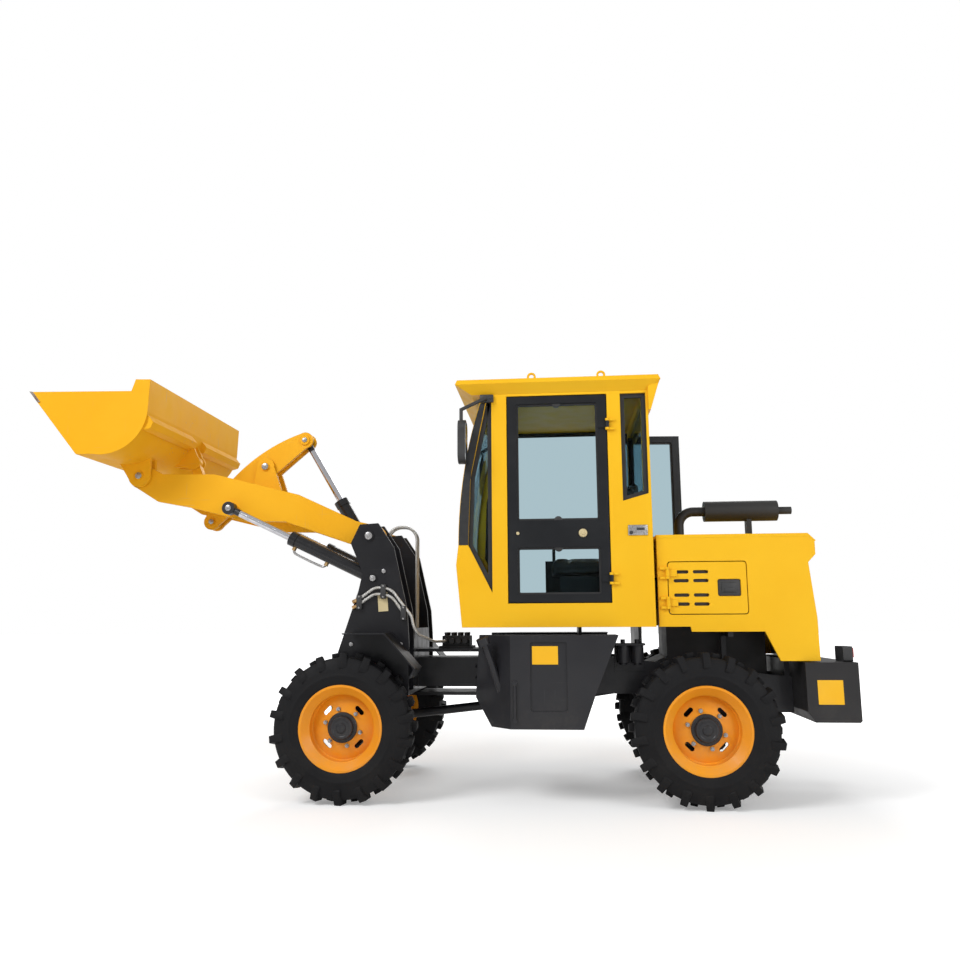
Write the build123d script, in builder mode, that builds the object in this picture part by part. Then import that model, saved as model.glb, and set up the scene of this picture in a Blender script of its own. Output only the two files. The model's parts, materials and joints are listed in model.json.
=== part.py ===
"""Compact articulated wheel loader with a glazed cab, a Z-bar bucket linkage and a rear engine hood."""
import os
from math import atan2, cos, degrees, hypot, pi, radians, sin

from build123d import *

os.makedirs("parts", exist_ok=True)

# Driving dimensions in millimetres. X is forward, Y is left and Z is up.
# Every place along X is counted from the steering pivot, and every height from the ground.

# Clearances
gap = 5.0
pin_play = 0.05
rod_play = 0.3
seat_gap = 0.3

# Wheels and axles
wheelbase = 2100.0
track = 1270.0
tyre_radius = 430.0
tyre_width = 220.0
tyre_side_radius = 330.0
tread_width = 164.0
lug_height = 26.0
lug_count = 18
lug_width = 34.0
lug_skew = 12.0
lug_centre_gap = 10.0
rim_seat_radius = 206.0
rim_flange_radius = 249.0
rim_width = 200.0
rim_flange_depth = 40.0
dish_depth = 98.0
dish_wall = 14.0
hub_radius = 62.0
hub_height = 42.0
hand_slots = 4
axle_radius = 60.0
drum_radius = 135.0
axle_case_radius = 150.0
axle_case_half = 95.0

# Steering pivot between the two frames
pivot_upper_height = 830.0
pivot_lower_height = 610.0
pivot_pin_radius = 30.0
pivot_eye_radius = 80.0
pivot_plate = 25.0
nose_length = 350.0
frame_half_width = 300.0
frame_plate = 20.0
frame_base = 600.0
shaft_height = 520.0
shaft_radius = 28.0
shaft_flange_radius = 55.0
engine_face = -760.0
engine_input_height = 630.0
engine_half_width = 220.0

# Tower and boom
tower_tyre_gap = 25.0
tower_outer_face = track / 2 - tyre_width / 2 - tower_tyre_gap
tower_outer_plate = 18.0
tower_inner_face = tower_outer_face - 204.0
tower_inner_plate = 20.0
tower_rear = 690.0
boom_pivot_x = 950.0
boom_pivot_z = 1575.0
boom_pin_radius = 32.0
boom_arm_centre = tower_outer_face - 152.0
boom_arm_plate = 36.0
boom_end_radius = 82.0
cross_tube_radius = 75.0
cross_tube_x = 1760.0
cross_tube_z = 1850.0

# Bucket
bucket_pin_x = 2540.0
bucket_pin_z = 2010.0
bucket_pin_radius = 28.0
bucket_width = 1500.0
bucket_rollback = 50.5
bucket_plate = 12.0
bucket_side_plate = 14.0
bucket_heel = 219.0
bucket_lip = 760.0
bucket_floor_drop = 134.0
cutting_edge_length = 100.0
cutting_edge_thickness = 16.0

# Bell crank and its link
crank_pivot_x = 1790.0
crank_pivot_z = 2113.0
crank_top_x = 1520.0
crank_top_z = 2300.0
crank_low_x = 2170.0
crank_low_z = 1735.0
crank_cheek_inner = 30.0
crank_cheek_plate = 22.0
link_pin_u = -18.0
link_pin_v = 258.0
link_pin_radius = 24.0
link_eye_radius = 45.0

# Hydraulic cylinders
lift_offset = tower_outer_face - 74.0
lift_base_x = 920.0
lift_base_z = 1310.0
lift_eye_x = 1894.0
lift_eye_z = 1775.0
lift_barrel_radius = 42.0
lift_rod_radius = 22.0
lift_barrel_length = 617.0
tilt_base_x = 1056.0
tilt_base_z = 1515.0
tilt_barrel_radius = 45.0
tilt_rod_radius = 22.0
tilt_barrel_length = 414.0
steer_base_x = -310.0
steer_base_y = 235.0
steer_eye_x = 250.0
steer_eye_y = 215.0
steer_height = 720.0
steer_barrel_radius = 32.0
steer_rod_radius = 16.0
steer_barrel_length = 360.0
cylinder_pin_radius = 24.0

# Cab
cab_half_width = 600.0
cab_wall = 40.0
cab_floor_height = 1005.0
cab_top = 2440.0
cab_front = 350.0
cab_rear = -800.0
cab_floor_plate = 30.0
a_pillar_front = 165.0
door_front = 71.0
door_rear = -548.0
door_bottom = 1146.0
door_head = 15.0
door_frame = 55.0
door_band_low = 1533.0
door_band_high = 1592.0
door_swing = 175.0
door_hinge_offset = 14.0
hinge_eye_radius = 12.0
hinge_pin_radius = 5.0
hinge_eye_length = 40.0
hinge_lug_length = 15.0
hinge_leaf = 8.0
glass = 6.0
roof_half_width = 645.0
roof_front = 388.0
roof_rear = -876.0
roof_top = 2530.0

# Hood, tanks and counterweight
hood_front = -822.0
hood_rear = -1752.0
hood_half_width = 560.0
hood_plate = 20.0
hood_top_height = 1550.0
hood_sill = 1005.0
hatch_front = -880.0
hatch_rear = -1345.0
hood_skirt = hood_sill - 199.0
hood_height = hood_top_height - hood_sill
hatch_low = hood_sill + 0.128 * hood_height
hatch_high = hood_sill + 0.706 * hood_height
hatch_height = hatch_high - hatch_low
tank_inner = 430.0
tank_outer = 720.0
tank_top = 960.0
tank_bottom = 431.0
weight_front = -1633.0
weight_rear = -1928.0
weight_low = 465.0
weight_high = 800.0
weight_half_width = 600.0
muffler_radius = 65.0
muffler_height = hood_top_height + 180.0
muffler_offset = 200.0

# The bucket's own level frame has its origin at the bucket pin, u forward and v up.
rollback = radians(bucket_rollback)


def from_bucket(u, v):
    """Place of a point of the level bucket frame, once the bucket is rolled back."""
    x = bucket_pin_x + u * cos(rollback) - v * sin(rollback)
    z = bucket_pin_z + u * sin(rollback) + v * cos(rollback)
    return x, z


lip_reach = from_bucket(bucket_lip, -bucket_floor_drop)[0]
axis_x = -(lip_reach + weight_rear) / 2
front_axle = wheelbase / 2
rear_axle_x = -wheelbase / 2

# Reference planes through the steering pivot: from the side, from above and from the front.
side = Plane(origin=(axis_x, 0, 0), x_dir=(1, 0, 0), z_dir=(0, -1, 0))
plan = Plane(origin=(axis_x, 0, 0), x_dir=(1, 0, 0), z_dir=(0, 0, 1))
face = Plane(origin=(axis_x, 0, 0), x_dir=(0, 1, 0), z_dir=(1, 0, 0))
bucket_plane = Plane(
    origin=(axis_x + bucket_pin_x, 0, bucket_pin_z),
    x_dir=(cos(rollback), 0, sin(rollback)),
    z_dir=(0, -1, 0),
)


def pair(plane, inner, outer):
    """Left and right planes from which a slab grows from its inner to its outer distance."""
    return plane.offset(-outer), plane.offset(inner)


def save(builder, name):
    """Name a finished sub-part and write its file."""
    builder.part.label = name
    export_step(builder.part, f"parts/{name}.step")


def along(x0, y0, z0, x1, y1, z1):
    """Plane at the first point whose normal runs to the second point, and the distance."""
    start = Vector(axis_x + x0, y0, z0)
    reach = Vector(axis_x + x1, y1, z1) - start
    across = Vector(0, 1, 0) if abs(reach.Y) < 0.5 * reach.length else Vector(0, 0, 1)
    return Plane(origin=start, x_dir=across, z_dir=reach), reach.length


def eye(x, y, low, high, radius, bore):
    """Upright hinge eye around a pin at a place counted from the steering pivot."""
    with BuildPart() as made:
        with BuildSketch(plan.offset(low)):
            with Locations((x, y)):
                Circle(radius)
                if bore:
                    Circle(bore, mode=Mode.SUBTRACT)
        extrude(amount=high - low)
    return made.part


def hinge_lugs(x, y, heights, reach, wall):
    """Pairs of lugs with a pin between them, on a wall that the hinge stands off from."""
    with BuildPart() as made:
        for z in heights:
            for low in (z + hinge_eye_length / 2 + 0.5, z - hinge_eye_length / 2 - 0.5 - hinge_lug_length):
                add(eye(x, y, low, low + hinge_lug_length, hinge_eye_radius, 0))
                with BuildSketch(plan.offset(low)):
                    with Locations((x + reach / 2, (y + wall) / 2)):
                        Rectangle(abs(reach), abs(y - wall))
                extrude(amount=hinge_lug_length)
            add(eye(x, y, z - hinge_eye_length / 2 - 1, z + hinge_eye_length / 2 + 1, hinge_pin_radius, 0))
    return made.part


def facet_ring(profile, sides):
    """Ring of flat facets: a closed profile of heights and radii carried round Z in equal steps."""
    step = 2 * pi / sides
    facets = []
    for start, end in zip(profile, profile[1:] + profile[:1]):
        for side_number in range(sides):
            low = pi / 2 + (side_number - 0.5) * step
            corners = []
            for (height, radius), turn in ((start, low), (end, low), (end, low + step), (start, low + step)):
                corners.append(Vector(radius * cos(turn), radius * sin(turn), height))
            facets.append(Face(Wire.make_polygon(corners)))
    return Solid(Shell(facets))


# Tyre: a flat-sided body with two facets for each lug, and staggered shoulder lugs on both halves.
sides = 2 * lug_count
outer_share = 1 / cos(pi / sides)
carcass_radius = tyre_radius - lug_height
half_tyre = tyre_width / 2
half_tread = tread_width / 2
bore_radius = (rim_seat_radius + seat_gap) * outer_share
bead = rim_width / 2 - rim_flange_depth - seat_gap
flange_slope = (rim_flange_radius - rim_seat_radius) / rim_flange_depth
bead_radius = bore_radius + flange_slope * (half_tyre - bead)
tyre_profile = [
    (-half_tyre, tyre_side_radius),
    (-half_tread, carcass_radius),
    (half_tread, carcass_radius),
    (half_tyre, tyre_side_radius),
    (half_tyre, bead_radius),
    (bead, bore_radius),
    (-bead, bore_radius),
    (-half_tyre, bead_radius),
]
with BuildPart() as tyre_blank:
    add(facet_ring(tyre_profile, sides))
    lug_middle = half_tyre / 2
    for half in (1, -1):
        for step in range(lug_count):
            turn = radians(90 + (step + (0 if half > 0 else 0.5)) * 360 / lug_count)
            skew = radians(half * lug_skew)
            radial = Vector(cos(turn), sin(turn), 0)
            around = Vector(-sin(turn), cos(turn), 0)
            normal = around * cos(skew) + Vector(0, 0, 1) * sin(skew)
            lug_plane = Plane(origin=(0, 0, half * lug_middle), x_dir=radial, z_dir=normal * half)
            with BuildSketch(lug_plane):
                Polygon(
                    (carcass_radius - 12, -(lug_middle - lug_centre_gap) * -1),
                    (tyre_radius, -(lug_middle - lug_centre_gap) * -1),
                    (tyre_radius, -(half_tread - lug_middle + 8)),
                    (tyre_side_radius + 10, -(half_tyre - lug_middle)),
                    align=None,
                )
    extrude(amount=lug_width / 2, both=True)

# Rim: a flanged barrel with a dished centre turned in one profile, hand slots and a hub cap.
half_rim = rim_width / 2
dish_low = half_rim - dish_depth
dish_face = dish_low + 30
seat_edge = half_rim - rim_flange_depth
inner_barrel = rim_seat_radius - dish_wall
rim_section = Plane(origin=(0, 0, 0), x_dir=(1, 0, 0), z_dir=(0, -1, 0))
with BuildPart() as rim_blank:
    with BuildSketch(rim_section):
        Polygon(
            (rim_flange_radius, half_rim),
            (rim_seat_radius, seat_edge),
            (rim_seat_radius, -seat_edge),
            (rim_flange_radius, -half_rim),
            (rim_flange_radius - dish_wall, -half_rim),
            (inner_barrel, -seat_edge),
            (inner_barrel, dish_low - dish_wall),
            (hub_radius + 18, dish_face - dish_wall),
            (0, dish_face - dish_wall),
            (0, dish_face),
            (hub_radius + 18, dish_face),
            (inner_barrel - 6, dish_low),
            (inner_barrel, dish_low + 6),
            (inner_barrel, seat_edge),
            (rim_flange_radius - dish_wall, half_rim),
            align=None,
        )
    revolve(axis=Axis.Z)
    with BuildSketch(Plane.XY.offset(dish_face - 1)):
        Circle(hub_radius)
    extrude(amount=hub_height + 1)
    with BuildSketch(Plane.XY.offset(-half_rim)):
        with PolarLocations((rim_seat_radius + hub_radius) / 2, hand_slots, start_angle=45):
            SlotOverall(64, 26, rotation=90)
    extrude(amount=rim_width, mode=Mode.SUBTRACT)

wheel_places = {
    "front_left": (front_axle, track / 2, -90),
    "front_right": (front_axle, -track / 2, 90),
    "rear_left": (rear_axle_x, track / 2, -90),
    "rear_right": (rear_axle_x, -track / 2, 90),
}
for corner, (x, y, tip) in wheel_places.items():
    place = Location((axis_x + x, y, tyre_radius), (tip, 0, 0))
    with BuildPart() as tyre:
        with Locations(place):
            add(tyre_blank.part)
    save(tyre, f"tyre_{corner}")
    with BuildPart() as rim:
        with Locations(place):
            add(rim_blank.part)
    save(rim, f"rim_{corner}")

# Axles: a round case in the middle, tubes, brake drums and hub ends that seat on the rims.
hub_seat = track / 2 + dish_face - dish_wall - seat_gap
drum_end = track / 2 - rim_width / 2 + 18
drum_start = tower_outer_face + 15
nose_reach = 200.0
for name, x, nose in (("front_axle", front_axle, -nose_reach), ("rear_axle", rear_axle_x, nose_reach)):
    with BuildPart() as axle:
        with BuildSketch(side.offset(-hub_seat)):
            with Locations((x, tyre_radius)):
                Circle(axle_radius)
        extrude(amount=2 * hub_seat)
        for plane in pair(side, drum_start, drum_end):
            with BuildSketch(plane):
                with Locations((x, tyre_radius)):
                    Circle(drum_radius)
        extrude(amount=drum_end - drum_start)
        with BuildSketch(face.offset(x - axle_case_half)):
            with Locations((0, tyre_radius)):
                Circle(axle_case_radius)
        extrude(amount=2 * axle_case_half)
        with BuildSketch(face.offset(x)):
            with Locations((0, tyre_radius)):
                Circle(70)
        extrude(amount=nose)
    save(axle, name)

# Rear frame: side rails, cross plates that carry the cab and the hood, and the two pivot eyes.
rail_low = tyre_radius + axle_radius + seat_gap
rail_high = 700.0
with BuildPart() as rear_frame:
    for plane in pair(side, frame_half_width - frame_plate, frame_half_width):
        with BuildSketch(plane):
            Polygon(
                (-nose_length, pivot_lower_height - pivot_plate / 2),
                (-nose_length, pivot_upper_height + pivot_plate / 2),
                (weight_front, rail_high),
                (weight_front, rail_low),
                (rear_axle_x + 300, rail_low),
                (rear_axle_x + 360, pivot_lower_height - pivot_plate / 2),
                align=None,
            )
    extrude(amount=frame_plate)
    for height in (pivot_upper_height, pivot_lower_height):
        with BuildSketch(plan.offset(height - pivot_plate / 2)):
            Circle(pivot_eye_radius)
            Polygon(
                (0, pivot_eye_radius),
                (-nose_length - frame_plate, frame_half_width),
                (-nose_length - frame_plate, -frame_half_width),
                (0, -pivot_eye_radius),
                align=None,
            )
            Circle(pivot_pin_radius + pin_play, mode=Mode.SUBTRACT)
        extrude(amount=pivot_plate)
    for x in (-nose_length - frame_plate, cab_rear + 60):
        with BuildSketch(face.offset(x)):
            Polygon(
                (-frame_half_width, pivot_lower_height),
                (frame_half_width, pivot_lower_height),
                (frame_half_width, cab_floor_height),
                (-frame_half_width, cab_floor_height),
                align=None,
            )
            with Locations((0, engine_input_height)):
                Circle(shaft_flange_radius + 4 * gap, mode=Mode.SUBTRACT)
        extrude(amount=frame_plate)
    for plane in pair(side, frame_half_width, tank_inner):
        with BuildSketch(plane):
            with Locations((-370, 680), (-370, 800)):
                Rectangle(70, 60)
    extrude(amount=tank_inner - frame_half_width)
    hood_posts = (-1235.0, weight_front + 30)
    for plane in pair(side, frame_half_width - frame_plate, frame_half_width):
        with BuildSketch(plane):
            for x in hood_posts:
                with Locations((x, (rail_high + hood_sill) / 2 - 30)):
                    Rectangle(30, hood_sill - rail_high + 60)
    extrude(amount=frame_plate)
    for plane in pair(side, frame_half_width, hood_half_width - hood_plate):
        with BuildSketch(plane):
            for x in hood_posts:
                with Locations((x, hood_sill - 30)):
                    Rectangle(30, 60)
    extrude(amount=hood_half_width - hood_plate - frame_half_width)
    for y in (steer_base_y, -steer_base_y):
        for height in (steer_height + 42, steer_height - 42 - 18):
            with BuildSketch(plan.offset(height)):
                with Locations((steer_base_x, y)):
                    Circle(42)
                with Locations((steer_base_x - 50, y)):
                    Rectangle(100, 84)
            extrude(amount=18)
        with BuildSketch(plan.offset(steer_height - 60)):
            with Locations((steer_base_x, y)):
                Circle(cylinder_pin_radius)
        extrude(amount=120)
save(rear_frame, "rear_frame")

# Filters: two canisters under a bracket on the left rail.
filter_places = ((-615, frame_half_width + 95), (-700, frame_half_width + 95))
with BuildPart() as filters:
    with BuildSketch(side.offset(-frame_half_width - seat_gap - 10)):
        with Locations((-657, 820)):
            Rectangle(180, 170)
    extrude(amount=10)
    with BuildSketch(plan.offset(893)):
        with Locations((-657, frame_half_width + seat_gap + 70)):
            Rectangle(180, 140)
    extrude(amount=12)
    with BuildSketch(plan.offset(788)):
        with Locations(*filter_places):
            Circle(38)
    extrude(amount=106)
    with BuildSketch(plan.offset(776)):
        with Locations(*filter_places):
            Circle(24)
    extrude(amount=14)
    with BuildSketch(plan.offset(903)):
        with Locations(*filter_places):
            Circle(14)
    extrude(amount=26)
save(filters, "filters")

# Counterweight: a deep cast block behind the rails with a bevelled lower edge and a tow slot.
with BuildPart() as counterweight:
    with BuildSketch(side.offset(-weight_half_width)):
        Polygon(
            (weight_front, weight_high),
            (weight_rear, weight_high),
            (weight_rear, weight_low + 10),
            (weight_rear + 10, weight_low),
            (weight_front - 40, weight_low),
            (weight_front, weight_low + 60),
            align=None,
        )
    extrude(amount=2 * weight_half_width)
    with BuildSketch(side.offset(-70)):
        with Locations((weight_rear + 50, (weight_low + weight_high) / 2)):
            Rectangle(101, 90)
    extrude(amount=140, mode=Mode.SUBTRACT)
    with BuildSketch(plan.offset(weight_low - 1)):
        with Locations((weight_rear + 50, 0)):
            Circle(20 + pin_play)
    extrude(amount=weight_high - weight_low + 2, mode=Mode.SUBTRACT)
save(counterweight, "counterweight")

# Tail lamps on the upper rear corners of the counterweight.
with BuildPart() as tail_lamps:
    for y in (450.0, -450.0):
        with BuildSketch(face.offset(weight_rear + 2)):
            with Locations((y, weight_high + 44)):
                RectangleRounded(150, 88, 12)
        extrude(amount=55)
save(tail_lamps, "tail_lamps")

# Engine and gearbox: one plain block with a bell housing, on the rails.
engine_top = hood_top_height - 290
with BuildPart() as engine_block:
    with BuildSketch(side.offset(-engine_half_width)):
        Polygon(
            (engine_face - 140, engine_top),
            (-1500, engine_top),
            (-1500, 700),
            (-1320, 620),
            (engine_face, 560),
            (engine_face, 760),
            (engine_face - 140, 820),
            align=None,
        )
    extrude(amount=2 * engine_half_width)
    rail_inner = frame_half_width - frame_plate
    for plane in pair(side, engine_half_width, rail_inner):
        with BuildSketch(plane):
            with Locations((engine_face - 190, 650), (-1400, 685)):
                Rectangle(90, 50)
    extrude(amount=rail_inner - engine_half_width)
save(engine_block, "engine_block")

# Hood sides: flat panels with a flared lip over the rear wheels; the left one holds the hatch.
hood_outline = (
    (hood_front, hood_top_height - hood_plate),
    (hood_front, hood_sill),
    (-1004, hood_sill),
    (-1010, hood_sill - 30),
    (-1430, hood_sill - 30),
    (-1510, hood_skirt),
    (-1733, hood_skirt),
    (-1731, hood_sill + 48),
    (-1700, hood_top_height - 173),
    (-1744, hood_top_height - 126),
    (hood_rear + 8, hood_top_height - hood_plate - 30),
    (hood_rear + 40, hood_top_height - hood_plate),
)
louvre_columns = (hatch_front - 80, hatch_front - 195)
louvre_rows = [hatch_low + share * hatch_height for share in (0.197, 0.365, 0.635, 0.8)]
hatch_hinge_heights = (hatch_low + 0.222 * hatch_height, hatch_high - 0.222 * hatch_height)


def louvres(x_shift=0.0):
    """Slots of the two louvre columns, cut from the sketch in hand."""
    for x in louvre_columns:
        for z in louvre_rows:
            with Locations((x + x_shift, z)):
                SlotOverall(90, 20, mode=Mode.SUBTRACT)


for name, plane, has_hatch in (
    ("hood_side_left", side.offset(-hood_half_width), True),
    ("hood_side_right", side.offset(hood_half_width - hood_plate), False),
):
    with BuildPart() as hood_side:
        with BuildSketch(plane):
            Polygon(*hood_outline, align=None)
            if has_hatch:
                with Locations(((hatch_front + hatch_rear) / 2, (hatch_low + hatch_high) / 2)):
                    RectangleRounded(hatch_front - hatch_rear, hatch_high - hatch_low, 20, mode=Mode.SUBTRACT)
            else:
                louvres()
        extrude(amount=hood_plate)
        if has_hatch:
            hinge_y = hood_half_width + door_hinge_offset
            add(hinge_lugs(hatch_front, hinge_y, hatch_hinge_heights, 45, hood_half_width))
    save(hood_side, name)

# Hood hatch: the louvred access door with its latch recess, hinged at its front edge.
with BuildPart() as hood_hatch:
    with BuildSketch(side.offset(-hood_half_width)):
        with Locations(((hatch_front + hatch_rear) / 2, (hatch_low + hatch_high) / 2)):
            RectangleRounded(hatch_front - hatch_rear - 2 * gap, hatch_high - hatch_low - 2 * gap, 18)
        louvres()
    extrude(amount=hood_plate - 4)
    with BuildSketch(side.offset(-hood_half_width)):
        with Locations((-1238, (hatch_low + hatch_high) / 2)):
            RectangleRounded(135, 102, 14)
    extrude(amount=10, mode=Mode.SUBTRACT)
    for z in hatch_hinge_heights:
        with BuildSketch(side.offset(-hood_half_width - hinge_leaf)):
            with Locations((hatch_front - 28, z)):
                Rectangle(56, hinge_eye_length)
        extrude(amount=hinge_leaf)
        low = z - hinge_eye_length / 2
        hinge_y = hood_half_width + door_hinge_offset
        add(eye(hatch_front, hinge_y, low, low + hinge_eye_length, hinge_eye_radius, 0))
        with BuildSketch(plan.offset(low - 1)):
            with Locations((hatch_front, hinge_y)):
                Circle(hinge_pin_radius + pin_play)
        extrude(amount=hinge_eye_length + 2, mode=Mode.SUBTRACT)
save(hood_hatch, "hood_hatch")

# Hood top with its rolled rear edge, between and over the side panels.
with BuildPart() as hood_top:
    with BuildSketch(side.offset(-hood_half_width)):
        Polygon(
            (hood_front, hood_top_height),
            (hood_rear + 45, hood_top_height),
            (hood_rear, hood_top_height - 45),
            (hood_rear + 8, hood_top_height - hood_plate - 30),
            (hood_rear + 40, hood_top_height - hood_plate),
            (hood_front, hood_top_height - hood_plate),
            align=None,
        )
    extrude(amount=2 * hood_half_width)
save(hood_top, "hood_top")

# Rear grille: the panel between the hood sides with rows of slots for the radiator.
grille_half = hood_half_width - hood_plate
with BuildPart() as rear_grille:
    with BuildSketch(side.offset(-grille_half)):
        Polygon(
            (-1733, hood_skirt),
            (-1731, hood_sill + 48),
            (-1700, hood_top_height - 173),
            (-1744, hood_top_height - 126),
            (hood_rear + 8, hood_top_height - hood_plate - 30),
            (hood_rear + 28, hood_top_height - hood_plate - 40),
            (-1720, hood_top_height - 126),
            (-1678, hood_top_height - 170),
            (-1709, hood_sill + 48),
            (-1711, hood_skirt),
            align=None,
        )
    extrude(amount=2 * grille_half)
    grille_step = (hood_top_height - hood_skirt - 336) / 6
    with BuildSketch(face.offset(hood_rear - 10)):
        for row in range(7):
            with Locations((0, hood_skirt + 94 + row * grille_step)):
                SlotOverall(760, 0.44 * grille_step)
    extrude(amount=110, mode=Mode.SUBTRACT)
save(rear_grille, "rear_grille")

# Muffler: a drum on a bracket, an elbow from the hood and a tail pipe.
with BuildPart() as muffler:
    with BuildSketch(face.offset(-1625)):
        with Locations((muffler_offset, muffler_height)):
            Circle(muffler_radius)
    extrude(amount=455)
    with BuildSketch(face.offset(-1715)):
        with Locations((muffler_offset, muffler_height)):
            Circle(24)
    extrude(amount=90)
    with BuildLine() as elbow:
        FilletPolyline(
            (axis_x - 1170, muffler_offset, muffler_height),
            (axis_x - 1010, muffler_offset, muffler_height),
            (axis_x - 1010, muffler_offset, hood_top_height),
            radius=90,
        )
    with BuildSketch(Plane(elbow.line @ 0, z_dir=elbow.line % 0)):
        Circle(30)
    sweep(path=elbow.line)
    with BuildSketch(face.offset(-1460)):
        with Locations((muffler_offset, (hood_top_height + muffler_height) / 2)):
            Rectangle(70, muffler_height - hood_top_height)
    extrude(amount=30)
save(muffler, "muffler")

# Tanks under the cab doors: a slanted front corner and a shallow panel; the left one has a filler and a level gauge.
tank_outline = (
    (255, tank_top),
    (280, 589),
    (176, tank_bottom),
    (-361, tank_bottom),
    (-441, 648),
    (-571, tank_top),
)
slant_start = 56.0
slant_end = 300.0
slant_depth = 262.0
for name, sign, plane, outer_plane in (
    ("tank_left", 1, side.offset(-tank_outer), side.offset(-tank_outer)),
    ("tank_right", -1, side.offset(tank_inner), side.offset(tank_outer)),
):
    with BuildPart() as tank:
        with BuildSketch(plane):
            Polygon(*tank_outline, align=None)
        extrude(amount=tank_outer - tank_inner)
        with BuildSketch(plan.offset(tank_bottom - 1)):
            Polygon(
                (slant_start, sign * tank_outer),
                (slant_start, sign * (tank_outer + 1)),
                (slant_end, sign * (tank_outer + 1)),
                (slant_end, sign * (tank_outer - slant_depth)),
                align=None,
            )
        extrude(amount=tank_top - tank_bottom + 2, mode=Mode.SUBTRACT)
        with BuildSketch(outer_plane):
            with Locations((-166, 726)):
                RectangleRounded(212, 390, 12)
        extrude(amount=sign * 10, mode=Mode.SUBTRACT)
        if sign > 0:
            neck, neck_length = along(118, tank_outer - 92, 640, 212, tank_outer - 45, 915)
            with BuildSketch(neck.offset(-20)):
                Circle(21)
            extrude(amount=neck_length + 20)
            with BuildSketch(neck.offset(neck_length - 10)):
                Circle(38)
            extrude(amount=42)
            for z in (478, 688):
                with BuildSketch(side.offset(-tank_outer - 20)):
                    with Locations((30, z)):
                        Circle(13)
                extrude(amount=21)
            with BuildSketch(plan.offset(478)):
                with Locations((30, tank_outer + 12)):
                    Circle(8)
            extrude(amount=210)
    save(tank, name)

# Cab floor with the console under the dash.
with BuildPart() as cab_floor:
    with BuildSketch(plan.offset(cab_floor_height)):
        Polygon(
            (cab_front - 40, cab_half_width - cab_wall),
            (cab_front - 40, -cab_half_width + cab_wall),
            (cab_rear + cab_wall, -cab_half_width + cab_wall),
            (cab_rear + cab_wall, cab_half_width - cab_wall),
            align=None,
        )
    extrude(amount=cab_floor_plate)
save(cab_floor, "cab_floor")

# Cab sides: door opening, slanted front quarter light and rear quarter light.
windshield_foot_x = 372.0
windshield_foot_z = 1500.0
windshield_mid_x = 342.0
windshield_mid_z = 1919.0
windshield_top_x = 219.0
shoulder_x = 386.0
shoulder_z = 1378.0
hinge_heights = (1290.0, 2230.0)
door_top = cab_top - door_head
for name, plane in (
    ("cab_side_left", side.offset(-cab_half_width)),
    ("cab_side_right", side.offset(cab_half_width - cab_wall)),
):
    with BuildPart() as cab_side:
        with BuildSketch(plane):
            with BuildLine():
                Polyline(
                    (windshield_foot_x, windshield_foot_z),
                    (shoulder_x, shoulder_z),
                    (cab_front, cab_floor_height),
                    (cab_rear, cab_floor_height),
                    (cab_rear, cab_top),
                    (windshield_top_x, cab_top),
                )
                ThreePointArc(
                    (windshield_top_x, cab_top),
                    (windshield_mid_x, windshield_mid_z),
                    (windshield_foot_x, windshield_foot_z),
                )
            make_face()
            with Locations(((door_front + door_rear) / 2, (door_bottom + door_top) / 2)):
                Rectangle(door_front - door_rear, door_top - door_bottom, mode=Mode.SUBTRACT)
            Polygon(
                (a_pillar_front, 1210),
                (a_pillar_front, cab_top - 35),
                (windshield_top_x - 25, cab_top - 35),
                (windshield_mid_x - 45, windshield_mid_z),
                (windshield_foot_x - 60, windshield_foot_z),
                align=None,
                mode=Mode.SUBTRACT,
            )
            Polygon(
                (-630, 1756),
                (-630, door_top),
                (cab_rear + 15, door_top),
                (cab_rear + 15, 1800),
                align=None,
                mode=Mode.SUBTRACT,
            )
        extrude(amount=cab_wall)
        sign = 1 if name.endswith("left") else -1
        hinge_y = sign * (cab_half_width + door_hinge_offset)
        add(hinge_lugs(door_rear, hinge_y, hinge_heights, -45, sign * cab_half_width))
    save(cab_side, name)

# Cab front panel under the windshield, and the rear wall with its window.
inner_half = cab_half_width - cab_wall
with BuildPart() as cab_front_panel:
    with BuildSketch(side.offset(-inner_half)):
        Polygon(
            (cab_front - 4, cab_floor_height),
            (shoulder_x, shoulder_z),
            (windshield_foot_x, windshield_foot_z),
            (windshield_foot_x - 40, windshield_foot_z),
            (shoulder_x - 42, shoulder_z),
            (cab_front - 40, cab_floor_height),
            align=None,
        )
    extrude(amount=2 * inner_half)
save(cab_front_panel, "cab_front_panel")

with BuildPart() as cab_rear_wall:
    with BuildSketch(face.offset(cab_rear)):
        with Locations((0, (cab_floor_height + cab_top) / 2)):
            Rectangle(2 * inner_half, cab_top - cab_floor_height)
        with Locations((0, 2075)):
            RectangleRounded(2 * inner_half - 120, 620, 30, mode=Mode.SUBTRACT)
    extrude(amount=cab_wall)
save(cab_rear_wall, "cab_rear_wall")

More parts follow.
